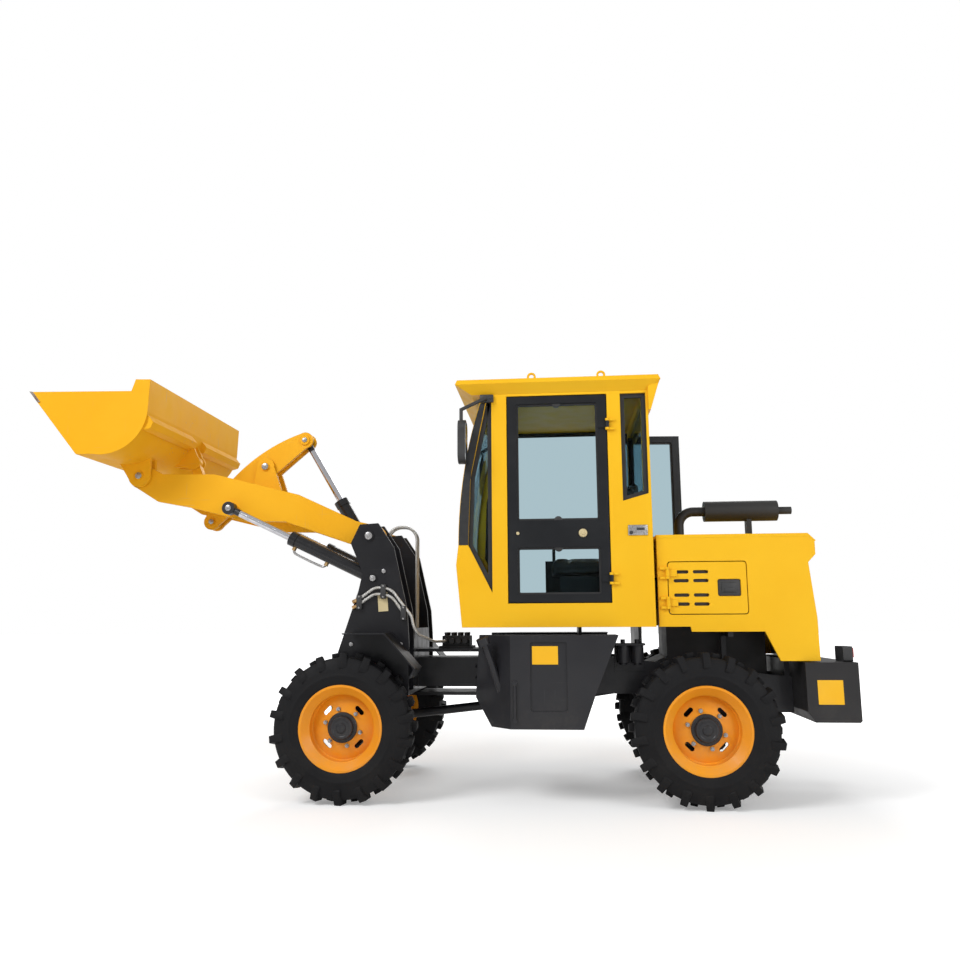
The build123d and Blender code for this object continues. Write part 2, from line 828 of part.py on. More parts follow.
# Cab roof: flared eaves, a crowned top and a rear visor.
with BuildPart() as cab_roof:
    for height, front, rear, half in (
        (cab_top, 290.0, cab_rear, cab_half_width),
        (roof_top - 30, roof_front, roof_rear, roof_half_width),
        (roof_top, roof_front - 12, roof_rear + 12, roof_half_width - 12),
    ):
        with BuildSketch(plan.offset(height)):
            with Locations(((front + rear) / 2, 0)):
                Rectangle(front - rear, 2 * half)
    loft(ruled=True)
    with BuildSketch(side.offset(-roof_half_width + 20)):
        Polygon(
            (cab_rear, cab_top + 20),
            (roof_rear + 4, roof_top - 32),
            (cab_rear - 14, 2312),
            (cab_rear, 2312),
            align=None,
        )
    extrude(amount=2 * roof_half_width - 40)
    for plane in pair(side, 554, 568):
        with BuildSketch(plane):
            for x in (-87, -520):
                with Locations((x, roof_top + 26)):
                    Circle(28)
                with Locations((x, roof_top)):
                    Rectangle(56, 52)
            for x in (-87, -520):
                with Locations((x, roof_top + 28)):
                    Circle(15, mode=Mode.SUBTRACT)
    extrude(amount=14)
save(cab_roof, "cab_roof")

# Windshield: one bent pane between the cab sides.
with BuildPart() as windshield:
    with BuildSketch(side.offset(-inner_half)):
        with BuildLine():
            top = (windshield_top_x - 2, cab_top)
            mid = (windshield_mid_x - 2, windshield_mid_z)
            foot = (windshield_foot_x - 2, windshield_foot_z)
            ThreePointArc(top, mid, foot)
            Polyline(foot, (foot[0] - glass, foot[1]))
            ThreePointArc((top[0] - glass, top[1]), (mid[0] - glass, mid[1]), (foot[0] - glass, foot[1]))
            Polyline((top[0] - glass, top[1]), top)
        make_face()
    extrude(amount=2 * inner_half)
save(windshield, "windshield")

# Fixed panes in the quarter lights and the rear window.
pane_depth = cab_half_width - 24
with BuildPart() as cab_glass:
    for plane in pair(side, pane_depth - glass, pane_depth):
        with BuildSketch(plane):
            Polygon(
                (a_pillar_front, 1210),
                (a_pillar_front, cab_top - 35),
                (windshield_top_x - 25, cab_top - 35),
                (windshield_mid_x - 45, windshield_mid_z),
                (windshield_foot_x - 60, windshield_foot_z),
                align=None,
            )
            Polygon(
                (-630, 1756),
                (-630, door_top),
                (cab_rear + 15, door_top),
                (cab_rear + 15, 1800),
                align=None,
            )
    extrude(amount=glass)
    with BuildSketch(face.offset(cab_rear + 14)):
        with Locations((0, 2075)):
            RectangleRounded(2 * inner_half - 120, 620, 30)
    extrude(amount=glass)
save(cab_glass, "cab_glass")

# Doors: a framed leaf with two panes and a middle band; the right one stands open, swung flat back.
door_width = door_front - door_rear
pane_low = ((door_bottom + door_band_low) / 2, door_band_low - door_bottom - 2 * door_frame + gap)
pane_high = ((door_band_high + door_top) / 2, door_top - door_band_high - 2 * door_frame + gap)
pane_width = door_width - 2 * gap - 2 * door_frame
for name, sign, swing in (("left", 1, 0.0), ("right", -1, door_swing)):
    turn = radians(swing)
    hinge_line = Plane(
        origin=(axis_x + door_rear, sign * (cab_half_width + door_hinge_offset), 0),
        x_dir=(cos(turn), sign * sin(turn), 0),
        z_dir=(sign * sin(turn), -cos(turn), 0),
    )
    outer_plane = hinge_line.offset(sign * door_hinge_offset)
    with BuildPart() as door:
        with BuildSketch(outer_plane):
            with Locations((door_width / 2, (door_bottom + door_top) / 2)):
                Rectangle(door_width - 2 * gap, door_top - door_bottom - 2 * gap)
            for middle, height in (pane_low, pane_high):
                with Locations((door_width / 2, middle)):
                    RectangleRounded(pane_width, height, 18, mode=Mode.SUBTRACT)
        extrude(amount=sign * cab_wall)
        for z in hinge_heights:
            with BuildSketch(hinge_line.offset(sign * (door_hinge_offset - hinge_leaf))):
                with Locations((28, z)):
                    Rectangle(56, hinge_eye_length)
            extrude(amount=sign * hinge_leaf)
            low = z - hinge_eye_length / 2
            hinge_y = sign * (cab_half_width + door_hinge_offset)
            add(eye(door_rear, hinge_y, low, low + hinge_eye_length, hinge_eye_radius, 0))
        for z in hinge_heights:
            with BuildSketch(plan.offset(z - hinge_eye_length / 2 - 1)):
                with Locations((door_rear, hinge_y)):
                    Circle(hinge_pin_radius + pin_play)
            extrude(amount=hinge_eye_length + 2, mode=Mode.SUBTRACT)
    save(door, f"door_{name}")
    with BuildPart() as door_glass:
        with BuildSketch(outer_plane.offset(sign * 16)):
            for middle, height in (pane_low, pane_high):
                with Locations((door_width / 2, middle)):
                    RectangleRounded(pane_width, height, 18)
        extrude(amount=sign * glass)
    save(door_glass, f"door_glass_{name}")

# Operator's seat: a pedestal, a cushion and a back.
seat_x = -420.0
floor_top = cab_floor_height + cab_floor_plate
with BuildPart() as seat_base:
    with BuildSketch(plan.offset(floor_top)):
        with Locations((seat_x, 0)):
            Rectangle(360, 400)
    extrude(amount=290)
save(seat_base, "seat_base")
with BuildPart() as seat_cushion:
    with BuildSketch(plan.offset(floor_top + 290 + seat_gap)):
        with Locations((seat_x + 20, 0)):
            RectangleRounded(460, 470, 50)
    extrude(amount=110)
save(seat_cushion, "seat_cushion")
with BuildPart() as seat_back:
    with BuildSketch(side.offset(-215)):
        Polygon(
            (seat_x - 210 - seat_gap, floor_top + 300),
            (seat_x - 210 - seat_gap, floor_top + 420),
            (seat_x - 250, floor_top + 900),
            (seat_x - 335, floor_top + 900),
            (seat_x - 320, floor_top + 300),
            align=None,
        )
    extrude(amount=430)
save(seat_back, "seat_back")

# Steering column with its wheel, and the two lever towers beside the seat.
with BuildPart() as steering_column:
    column_plane, column_length = along(240, 0, floor_top, 40, 0, 1640)
    with BuildSketch(column_plane.offset(60)):
        Circle(40)
    extrude(amount=column_length - 60)
    with BuildSketch(column_plane.offset(column_length)):
        Circle(185)
        Circle(160, mode=Mode.SUBTRACT)
        Rectangle(330, 34)
        Rectangle(34, 330)
    extrude(amount=24)
    with BuildSketch(plan.offset(floor_top)):
        with Locations((240, 0)):
            Rectangle(110, 200)
    extrude(amount=120)
save(steering_column, "steering_column")
with BuildPart() as control_levers:
    with BuildSketch(plan.offset(floor_top)):
        with Locations((-250, -330)):
            Rectangle(220, 120)
    extrude(amount=420)
    with BuildSketch(plan.offset(floor_top + 420)):
        with Locations((-200, -350), (-200, -310)):
            Circle(11)
    extrude(amount=190)
save(control_levers, "control_levers")

# Mirrors on bent arms from the front corners of the roof.
with BuildPart() as mirrors:
    for sign in (1, -1):
        with BuildLine() as arm_path:
            Polyline(
                (axis_x + 200, sign * (cab_half_width + seat_gap), cab_top - 35),
                (axis_x + 200, sign * (cab_half_width + 45), cab_top - 35),
                (axis_x + 345, sign * (cab_half_width + 75), cab_top - 110),
                (axis_x + 345, sign * (cab_half_width + 75), 2240),
            )
        with BuildSketch(Plane(arm_path.line @ 0, z_dir=arm_path.line % 0)):
            Circle(11)
        sweep(path=arm_path.line, transition=Transition.RIGHT)
        with BuildSketch(face.offset(315)):
            with Locations((sign * (cab_half_width + 75), 2125)):
                RectangleRounded(140, 270, 60)
        extrude(amount=45)
save(mirrors, "mirrors")

# Front frame: twin tower walls, floor pan, front wall, and the tail that reaches back to the pivot.
inner_outer = tower_inner_face + tower_inner_plate
outer_inner = tower_outer_face - tower_outer_plate
tower_outline = (
    (1160, frame_base),
    (1141, 834),
    (1011, 1234),
    (987, 1343),
    (1066, 1530),
    (1010, 1648),
    (892, 1655),
    (791, 1503),
    (703, 1117),
    (tower_rear, 927),
    (tower_rear, frame_base),
)
tail_half = 150.0
tilt_ear_inner = tilt_barrel_radius + 5 + gap
with BuildPart() as front_frame:
    for inner, outer in ((tower_inner_face, inner_outer), (outer_inner, tower_outer_face)):
        for plane in pair(side, inner, outer):
            with BuildSketch(plane):
                Polygon(*tower_outline, align=None)
        extrude(amount=outer - inner)
    with BuildSketch(plan.offset(frame_base)):
        Polygon(
            (1160, tower_outer_face),
            (tower_rear, tower_outer_face),
            (tower_rear, -tower_outer_face),
            (1160, -tower_outer_face),
            align=None,
        )
    extrude(amount=24)
    with BuildSketch(side.offset(-tower_inner_face)):
        Polygon(
            (1110, frame_base),
            (1090, 834),
            (975, 1234),
            (955, 1234),
            (1070, 834),
            (1090, frame_base),
            align=None,
        )
    extrude(amount=2 * tower_inner_face)
    for x, z, radius in (
        (boom_pivot_x, boom_pivot_z, boom_pin_radius),
        (lift_base_x, lift_base_z, cylinder_pin_radius),
    ):
        for plane in pair(side, tower_inner_face - 12, tower_outer_face + 12):
            with BuildSketch(plane):
                with Locations((x, z)):
                    Circle(radius)
        extrude(amount=tower_outer_face - tower_inner_face + 24)
    for plane in pair(side, tilt_ear_inner, tilt_ear_inner + 22):
        with BuildSketch(plane):
            with Locations((tilt_base_x, tilt_base_z)):
                Circle(50)
            Polygon(
                (tilt_base_x - 45, tilt_base_z + 20),
                (tilt_base_x + 48, tilt_base_z - 10),
                (970, 1180),
                (870, 1180),
                align=None,
            )
    extrude(amount=22)
    with BuildSketch(side.offset(-tilt_ear_inner - 22)):
        with Locations((tilt_base_x, tilt_base_z)):
            Circle(cylinder_pin_radius)
    extrude(amount=2 * tilt_ear_inner + 44)
    with BuildSketch(side.offset(-tower_inner_face)):
        with Locations((900, 1200)):
            Circle(60)
    extrude(amount=2 * tower_inner_face)
    for plane in pair(side, tail_half - frame_plate, tail_half):
        with BuildSketch(plane):
            Polygon(
                (200, pivot_lower_height + 37.5),
                (200, pivot_upper_height - 37.5),
                (tower_rear + 60, pivot_upper_height - 37.5),
                (tower_rear + 60, pivot_lower_height + 37.5),
                align=None,
            )
    extrude(amount=frame_plate)
    for height in (pivot_upper_height, pivot_lower_height):
        for low in (height + pivot_plate / 2 + gap, height - pivot_plate / 2 - gap - 20):
            with BuildSketch(plan.offset(low)):
                Circle(pivot_eye_radius)
                Polygon(
                    (0, pivot_eye_radius),
                    (200, tail_half),
                    (tower_rear + 60, tail_half),
                    (tower_rear + 60, -tail_half),
                    (200, -tail_half),
                    (0, -pivot_eye_radius),
                    align=None,
                )
            extrude(amount=20)
        with BuildSketch(plan.offset(height - 45)):
            Circle(pivot_pin_radius)
        extrude(amount=90)
    with BuildSketch(face.offset(tower_rear)):
        Polygon(
            (-tower_inner_face, frame_base),
            (tower_inner_face, frame_base),
            (tower_inner_face, 1000),
            (-tower_inner_face, 1000),
            align=None,
        )
    extrude(amount=24)
    pad_inner = inner_outer - 116
    for plane in pair(side, pad_inner, inner_outer):
        with BuildSketch(plane):
            with Locations((front_axle, (rail_low + frame_base) / 2)):
                Rectangle(160, frame_base - rail_low)
    extrude(amount=inner_outer - pad_inner)
    for y in (steer_eye_y, -steer_eye_y):
        for low in (steer_height + 27, steer_height - 27 - 16):
            with BuildSketch(plan.offset(low)):
                with Locations((steer_eye_x, y)):
                    Circle(38)
                Polygon(
                    (steer_eye_x - 36, y),
                    (steer_eye_x + 36, y),
                    (steer_eye_x + 70, y / abs(y) * (tail_half - 10)),
                    (steer_eye_x - 40, y / abs(y) * (tail_half - 10)),
                    align=None,
                )
            extrude(amount=16)
save(front_frame, "front_frame")

# Control valve on the tail of the front frame, with its spool caps and ports.
tail_top = pivot_upper_height + pivot_plate / 2 + gap + 20
with BuildPart() as control_valve:
    with BuildSketch(plan.offset(tail_top + seat_gap)):
        with Locations((450, 0)):
            Rectangle(220, 230)
    extrude(amount=14)
    with BuildSketch(plan.offset(tail_top + seat_gap + 14)):
        with Locations((450, 0)):
            Rectangle(180, 180)
    extrude(amount=66)
    spools = [(x, tail_top + 48) for x in (384, 428, 472, 516)]
    with BuildSketch(side.offset(-140)):
        with Locations(*spools):
            Circle(17)
    extrude(amount=280)
    with BuildSketch(plan.offset(tail_top + 80)):
        with Locations(*[(x, y) for x in (384, 428, 472, 516) for y in (-45, 45)]):
            RegularPolygon(15, 6)
    extrude(amount=22)
save(control_valve, "control_valve")

# Hydraulic hoses held by the tower: two along its left wall in clamps, and two loops between its walls.
hose_radius = 9.0
hose_bend = 90.0
wall_hose_y = tower_outer_face + 14
spool_height = tail_top + 48


def hose(*points):
    """Hose along a bent route of places counted from the steering pivot."""
    with BuildPart() as made:
        with BuildLine() as route:
            FilletPolyline(*[(axis_x + x, y, z) for x, y, z in points], radius=hose_bend)
        with BuildSketch(Plane(route.line @ 0, z_dir=route.line % 0)):
            Circle(hose_radius)
        sweep(path=route.line)
    return made.part


with BuildPart() as hoses:
    add(
        hose(
            (1005, wall_hose_y, 1180),
            (900, wall_hose_y, 1255),
            (800, wall_hose_y, 1240),
            (672, wall_hose_y, 1075),
            (650, wall_hose_y, 970),
            (560, 300, spool_height),
            (516, 220, spool_height),
            (516, 140 + seat_gap, spool_height),
        )
    )
    add(
        hose(
            (1015, wall_hose_y, 1140),
            (905, wall_hose_y, 1215),
            (800, wall_hose_y, 1200),
            (712, wall_hose_y, 1080),
        )
    )
    with BuildSketch(side.offset(-tower_outer_face - seat_gap - 26)):
        with Locations((1000, 1162), (850, 1227), (722, 1094)):
            Rectangle(30, 84)
    extrude(amount=26)
    for y in (115, 165):
        add(
            hose(
                (900, y, 1260 + seat_gap),
                (900, y, 1664),
                (702, y, 1664),
                (702, y, 1000 + seat_gap),
            )
        )
save(hoses, "hoses")

# Front fenders: bent plates over the back of the front wheels, fixed to the tower walls.
with BuildPart() as front_fenders:
    for plane in pair(side, tower_outer_face, track / 2 + half_tyre):
        with BuildSketch(plane):
            Polygon(
                (1047, 976),
                (793, 976),
                (608, 768),
                (640, 716),
                (646, 720),
                (618, 768),
                (797, 968),
                (1047, 968),
                align=None,
            )
    extrude(amount=track / 2 + half_tyre - tower_outer_face)
save(front_fenders, "front_fenders")

# Drive shafts: front and rear halves with their joint yokes, meeting near the steering pivot.
pinion_end = front_axle - nose_reach
yoke_gap = 60.0
front_shaft, front_run = along(yoke_gap, 0, shaft_height, pinion_end - seat_gap, 0, tyre_radius)
with BuildPart() as drive_shaft_front:
    with BuildSketch(front_shaft):
        Circle(shaft_radius)
    extrude(amount=front_run - 30)
    with BuildSketch(face.offset(pinion_end - 50)):
        with Locations((0, tyre_radius)):
            Circle(shaft_flange_radius)
    extrude(amount=50 - seat_gap)
save(drive_shaft_front, "drive_shaft_front")
rear_shaft, rear_run = along(-yoke_gap, 0, shaft_height, engine_face + seat_gap, 0, engine_input_height)
with BuildPart() as drive_shaft_rear:
    with BuildSketch(rear_shaft):
        Circle(shaft_radius)
    extrude(amount=rear_run - 30)
    with BuildSketch(face.offset(engine_face + seat_gap)):
        with Locations((0, engine_input_height)):
            Circle(shaft_flange_radius)
    extrude(amount=50)
save(drive_shaft_rear, "drive_shaft_rear")

# Boom: two bent arms, a cross tube and the bracket plates of the bell crank.
arm_inner = boom_arm_centre - boom_arm_plate / 2
arm_outer = boom_arm_centre + boom_arm_plate / 2
bracket_inner = crank_cheek_inner + crank_cheek_plate + gap
bracket_plate = 20.0
with BuildPart() as boom:
    for plane in pair(side, arm_inner, arm_outer):
        with BuildSketch(plane):
            with Locations((boom_pivot_x, boom_pivot_z), (bucket_pin_x, bucket_pin_z)):
                Circle(boom_end_radius)
            Polygon(
                (boom_pivot_x + 40, boom_pivot_z - 72),
                (1540, 1690),
                (1805, 1698),
                (2194, 1796),
                (2414, 1838),
                (bucket_pin_x + 58, bucket_pin_z - 58),
                (bucket_pin_x - 45, bucket_pin_z + 68),
                (2393, 2022),
                (2032, 2014),
                (1452, 1866),
                (1063, 1685),
                (boom_pivot_x - 15, boom_pivot_z + 80),
                align=None,
            )
            with Locations((boom_pivot_x, boom_pivot_z)):
                Circle(boom_pin_radius + pin_play, mode=Mode.SUBTRACT)
            with Locations((bucket_pin_x, bucket_pin_z)):
                Circle(bucket_pin_radius + pin_play, mode=Mode.SUBTRACT)
    extrude(amount=boom_arm_plate)
    with BuildSketch(side.offset(-arm_inner)):
        with Locations((cross_tube_x, cross_tube_z)):
            Circle(cross_tube_radius)
    extrude(amount=2 * arm_inner)
    for plane in pair(side, bracket_inner, bracket_inner + bracket_plate):
        with BuildSketch(plane):
            with Locations((crank_pivot_x, crank_pivot_z)):
                Circle(62)
            Polygon(
                (cross_tube_x - 130, cross_tube_z - 20),
                (cross_tube_x + 130, cross_tube_z - 20),
                (crank_pivot_x + 58, crank_pivot_z + 10),
                (crank_pivot_x - 58, crank_pivot_z + 10),
                align=None,
            )
    extrude(amount=bracket_plate)
    with BuildSketch(side.offset(-bracket_inner - bracket_plate - 10)):
        with Locations((crank_pivot_x, crank_pivot_z)):
            Circle(bucket_pin_radius)
    extrude(amount=2 * (bracket_inner + bracket_plate + 10))
    for plane in pair(side, arm_outer, lift_offset - 27 - 1.5):
        with BuildSketch(plane):
            with Locations((lift_eye_x, lift_eye_z)):
                Circle(38)
    extrude(amount=lift_offset - 28.5 - arm_outer)
save(boom, "boom")

# Bell crank: two curved cheeks on a pivot tube, with the link's pin across their lower ends.
crank_outer = crank_cheek_inner + crank_cheek_plate
with BuildPart() as bell_crank:
    for plane in pair(side, crank_cheek_inner, crank_outer):
        with BuildSketch(plane):
            with Locations((crank_top_x, crank_top_z), (crank_low_x, crank_low_z)):
                Circle(56)
            with Locations((crank_pivot_x, crank_pivot_z)):
                Circle(80)
            with BuildLine():
                ThreePointArc(
                    (crank_top_x + 5, crank_top_z + 56),
                    (1822, 2213),
                    (crank_low_x + 54, crank_low_z + 14),
                )
                Line((crank_low_x + 54, crank_low_z + 14), (crank_low_x - 48, crank_low_z - 28))
                ThreePointArc(
                    (crank_low_x - 48, crank_low_z - 28),
                    (1722, 2062),
                    (crank_top_x - 12, crank_top_z - 54),
                )
                Line((crank_top_x - 12, crank_top_z - 54), (crank_top_x + 5, crank_top_z + 56))
            make_face()
            with Locations((crank_pivot_x, crank_pivot_z)):
                Circle(bucket_pin_radius + pin_play, mode=Mode.SUBTRACT)
    extrude(amount=crank_cheek_plate)
    with BuildSketch(side.offset(-crank_cheek_inner)):
        with Locations((crank_pivot_x, crank_pivot_z)):
            Circle(62)
            Circle(bucket_pin_radius + pin_play, mode=Mode.SUBTRACT)
    extrude(amount=2 * crank_cheek_inner)
    with BuildSketch(side.offset(-crank_outer - 10)):
        with Locations((crank_low_x, crank_low_z)):
            Circle(link_pin_radius)
    extrude(amount=2 * crank_outer + 20)
    for plane in pair(side, crank_outer, crank_outer + 10):
        with BuildSketch(plane):
            with Locations((crank_top_x, crank_top_z)):
                Circle(34)
    extrude(amount=10)
save(bell_crank, "bell_crank")

# Bucket link: a flat bar with an eye at each end, from the crank to the bucket's middle ears.
link_half = crank_cheek_inner - 3
link_x, link_z = from_bucket(link_pin_u, link_pin_v)
with BuildPart() as bucket_link:
    with BuildSketch(side.offset(-link_half)):
        with Locations((crank_low_x, crank_low_z), (link_x, link_z)):
            Circle(link_eye_radius)
        with Locations(((crank_low_x + link_x) / 2, (crank_low_z + link_z) / 2)):
            Rectangle(
                hypot(link_x - crank_low_x, link_z - crank_low_z),
                64,
                rotation=degrees(atan2(link_z - crank_low_z, link_x - crank_low_x)),
            )
        with Locations((crank_low_x, crank_low_z)):
            Circle(link_pin_radius + pin_play, mode=Mode.SUBTRACT)
    extrude(amount=2 * link_half)
save(bucket_link, "bucket_link")

# Bucket: a rolled shell, side plates with raised corners, hinge ears and the link's ears.
half_bucket = bucket_width / 2
floor_v = -bucket_floor_drop
edge_start = bucket_lip - cutting_edge_length
heel_back = (148.0, -50.0)
back_mid = (44.0, 166.0)
back_top = (131.0, 385.0)
spill_top = (289.0, 524.0)
spill_front = (353.0, 451.0)
mouth_rear = (310.0, 384.0)
with BuildPart() as bucket:
    with BuildSketch(bucket_plane.offset(-half_bucket)) as bucket_section:
        with BuildLine():
            Polyline((edge_start, floor_v), (bucket_heel, floor_v), heel_back)
            ThreePointArc(heel_back, back_mid, back_top)
            Polyline(back_top, spill_top, (edge_start, floor_v))
        make_face()
    extrude(amount=bucket_width)
    for inner in (arm_inner - 8 - 22, arm_outer + 8):
        for plane in pair(bucket_plane, inner, inner + 22):
            with BuildSketch(plane):
                Circle(75)
                Polygon((-12, -74), (heel_back[0] + 6, heel_back[1] - 4), (70, 150), (-60, 45), align=None)
        extrude(amount=22)
    for plane in pair(bucket_plane, crank_cheek_inner + 2, crank_cheek_inner + 22):
        with BuildSketch(plane):
            with Locations((link_pin_u, link_pin_v)):
                Circle(52)
            Polygon(
                (link_pin_u - 10, link_pin_v - 51),
                (70, 110),
                (110, 340),
                (link_pin_u + 10, link_pin_v + 51),
                align=None,
            )
    extrude(amount=20)
    for plane in pair(bucket_plane, 80, half_bucket - bucket_side_plate):
        with BuildSketch(plane):
            Polygon((130, 372), (60, 372), (40, 334), (60, 290), (110, 290), align=None)
    extrude(amount=half_bucket - bucket_side_plate - 80)
    for plane in pair(bucket_plane, arm_inner - 8 - 32, arm_outer + 8 + 32):
        with BuildSketch(plane):
            Circle(bucket_pin_radius)
    extrude(amount=arm_outer - arm_inner + 80)
    with BuildSketch(bucket_plane.offset(-half_bucket + bucket_side_plate)):
        with BuildLine():
            Polyline((edge_start, floor_v), (bucket_heel, floor_v), heel_back)
            ThreePointArc(heel_back, back_mid, back_top)
            Polyline(back_top, spill_top, (edge_start, floor_v))
        make_face()
        offset(amount=-bucket_plate, kind=Kind.INTERSECTION, mode=Mode.REPLACE)
        Polygon(
            (edge_start + 60, floor_v + bucket_plate),
            (edge_start - 160, floor_v + bucket_plate),
            (236.7, 462),
            (327, 541),
            (edge_start + 60, 541),
            align=None,
        )
    extrude(amount=bucket_width - 2 * bucket_side_plate, mode=Mode.SUBTRACT)
    for plane in pair(bucket_plane, half_bucket - bucket_side_plate, half_bucket):
        with BuildSketch(plane):
            Polygon(
                (bucket_lip - 18, floor_v + cutting_edge_thickness + seat_gap),
                mouth_rear,
                spill_front,
                spill_top,
                (250, 470),
                (edge_start - 200, floor_v + cutting_edge_thickness + seat_gap),
                align=None,
            )
    extrude(amount=bucket_side_plate)
    with BuildSketch(bucket_plane.offset(-half_bucket)):
        Polygon(
            (bucket_lip - 18, floor_v + cutting_edge_thickness + seat_gap),
            mouth_rear,
            spill_front,
            (spill_front[0] + 300, spill_front[1]),
            (bucket_lip + 100, floor_v + cutting_edge_thickness + seat_gap),
            align=None,
        )
    extrude(amount=bucket_width, mode=Mode.SUBTRACT)
save(bucket, "bucket")

# Cutting edge: the bevelled wear strip along the bucket's lip.
with BuildPart() as cutting_edge:
    with BuildSketch(bucket_plane.offset(-half_bucket)):
        Polygon(
            (edge_start, floor_v),
            (bucket_lip, floor_v),
            (bucket_lip - cutting_edge_thickness, floor_v + cutting_edge_thickness),
            (edge_start, floor_v + cutting_edge_thickness),
            align=None,
        )
    extrude(amount=bucket_width)
save(cutting_edge, "cutting_edge")


def barrel(plane, pin_plane, pin, radius, rod_radius, length, eye_radius, half_eye):
    """Cylinder barrel: bored tube, gland ring and base eye."""
    with BuildPart() as made:
        with BuildSketch(plane.offset(30)):
            Circle(radius)
        extrude(amount=length - 30)
        with BuildSketch(plane.offset(length - 45)):
            Circle(radius + 5)
        extrude(amount=45)
        with BuildSketch(pin_plane.offset(-half_eye)):
            with Locations(pin):
                Circle(eye_radius)
        extrude(amount=2 * half_eye)
        with BuildSketch(plane.offset(eye_radius + 10)):
            Circle(rod_radius + rod_play)
        extrude(amount=length, mode=Mode.SUBTRACT)
        with BuildSketch(pin_plane.offset(-half_eye - 10)):
            with Locations(pin):
                Circle(cylinder_pin_radius + pin_play)
        extrude(amount=2 * half_eye + 20, mode=Mode.SUBTRACT)
    return made.part


def rod(plane, pin_plane, pin, rod_radius, start, length, eye_radius, half_eye):
    """Piston rod with the eye at its outer end."""
    with BuildPart() as made:
        with BuildSketch(plane.offset(start)):
            Circle(rod_radius)
        extrude(amount=length - start)
        with BuildSketch(pin_plane.offset(-half_eye)):
            with Locations(pin):
                Circle(eye_radius)
        extrude(amount=2 * half_eye)
    return made.part


# Lift cylinders, one on the outside of each boom arm.
with BuildPart() as lift_barrels:
    for y in (lift_offset, -lift_offset):
        lift_plane, lift_length = along(lift_base_x, y, lift_base_z, lift_eye_x, y, lift_eye_z)
        base = (lift_base_x, lift_base_z)
        add(barrel(lift_plane, side.offset(-y), base, lift_barrel_radius, lift_rod_radius, lift_barrel_length, 46, 30))
save(lift_barrels, "lift_barrels")
with BuildPart() as lift_rods:
    for y in (lift_offset, -lift_offset):
        lift_plane, lift_length = along(lift_base_x, y, lift_base_z, lift_eye_x, y, lift_eye_z)
        tip = (lift_eye_x, lift_eye_z)
        add(rod(lift_plane, side.offset(-y), tip, lift_rod_radius, 420, lift_length, 42, 27))
save(lift_rods, "lift_rods")

# Tilt cylinder on the centre line, from the tower to the top of the bell crank.
tilt_plane, tilt_length = along(tilt_base_x, 0, tilt_base_z, crank_top_x, 0, crank_top_z)
with BuildPart() as tilt_barrel:
    base = (tilt_base_x, tilt_base_z)
    add(barrel(tilt_plane, side, base, tilt_barrel_radius, tilt_rod_radius, tilt_barrel_length, 46, 32))
save(tilt_barrel, "tilt_barrel")
with BuildPart() as tilt_rod:
    tip = (crank_top_x, crank_top_z)
    add(rod(tilt_plane, side, tip, tilt_rod_radius, 255, tilt_length, 42, 26))
save(tilt_rod, "tilt_rod")

# Steering cylinders, one on each side of the pivot.
steer_plan = plan.offset(steer_height)
for name, sign in (("left", 1), ("right", -1)):
    base = (steer_base_x, sign * steer_base_y)
    tip = (steer_eye_x, sign * steer_eye_y)
    steer_plane, steer_length = along(*base, steer_height, *tip, steer_height)
    with BuildPart() as steer_barrel:
        add(barrel(steer_plane, steer_plan, base, steer_barrel_radius, steer_rod_radius, steer_barrel_length, 36, 24))
    save(steer_barrel, f"steer_barrel_{name}")
    with BuildPart() as steer_rod:
        add(rod(steer_plane, steer_plan, tip, steer_rod_radius, 190, steer_length, 32, 24))
    save(steer_rod, f"steer_rod_{name}")
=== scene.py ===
# %% [markdown]
# # A compact wheel loader
# The loader's solids come from the shared frame: every frame rail, panel, arm and pin is already in place.
# This lesson dresses them. It gives each surface a painted, cast, rubber, glass or chrome finish, and it
# adds what belongs to the look and not to the mechanism: round tyres, hub covers, bolts, a padded seat and
# trim.

# %% Load the frame
import json
import math

import bmesh
import bpy
from mathutils import Matrix, Vector


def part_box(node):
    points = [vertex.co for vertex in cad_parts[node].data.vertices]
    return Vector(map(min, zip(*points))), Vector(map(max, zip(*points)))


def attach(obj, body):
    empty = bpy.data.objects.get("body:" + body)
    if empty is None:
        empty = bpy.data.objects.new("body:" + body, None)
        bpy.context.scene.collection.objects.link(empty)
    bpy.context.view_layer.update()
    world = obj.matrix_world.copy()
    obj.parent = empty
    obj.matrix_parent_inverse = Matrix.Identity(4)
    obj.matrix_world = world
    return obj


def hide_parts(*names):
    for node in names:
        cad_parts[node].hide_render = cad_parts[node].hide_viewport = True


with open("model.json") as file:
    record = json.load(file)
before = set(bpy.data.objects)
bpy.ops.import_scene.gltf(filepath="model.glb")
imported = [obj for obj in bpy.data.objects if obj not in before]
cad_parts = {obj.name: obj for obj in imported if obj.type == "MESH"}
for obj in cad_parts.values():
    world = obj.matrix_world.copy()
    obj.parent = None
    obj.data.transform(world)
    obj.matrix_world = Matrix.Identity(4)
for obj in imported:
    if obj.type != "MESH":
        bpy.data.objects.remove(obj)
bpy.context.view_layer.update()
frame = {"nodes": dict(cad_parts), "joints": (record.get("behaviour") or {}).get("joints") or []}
nodes = frame["nodes"]
scene = bpy.context.scene

# %% [markdown]
# ## The camera
# The photograph was taken from the left side, a little behind the steering pivot and about a metre above
# the ground, looking slightly up. The place and the turn come from the two wheels, which are circles of the
# same size. A camera matrix is three columns (right, up and back) and a place, so the turn is written out
# as those columns.

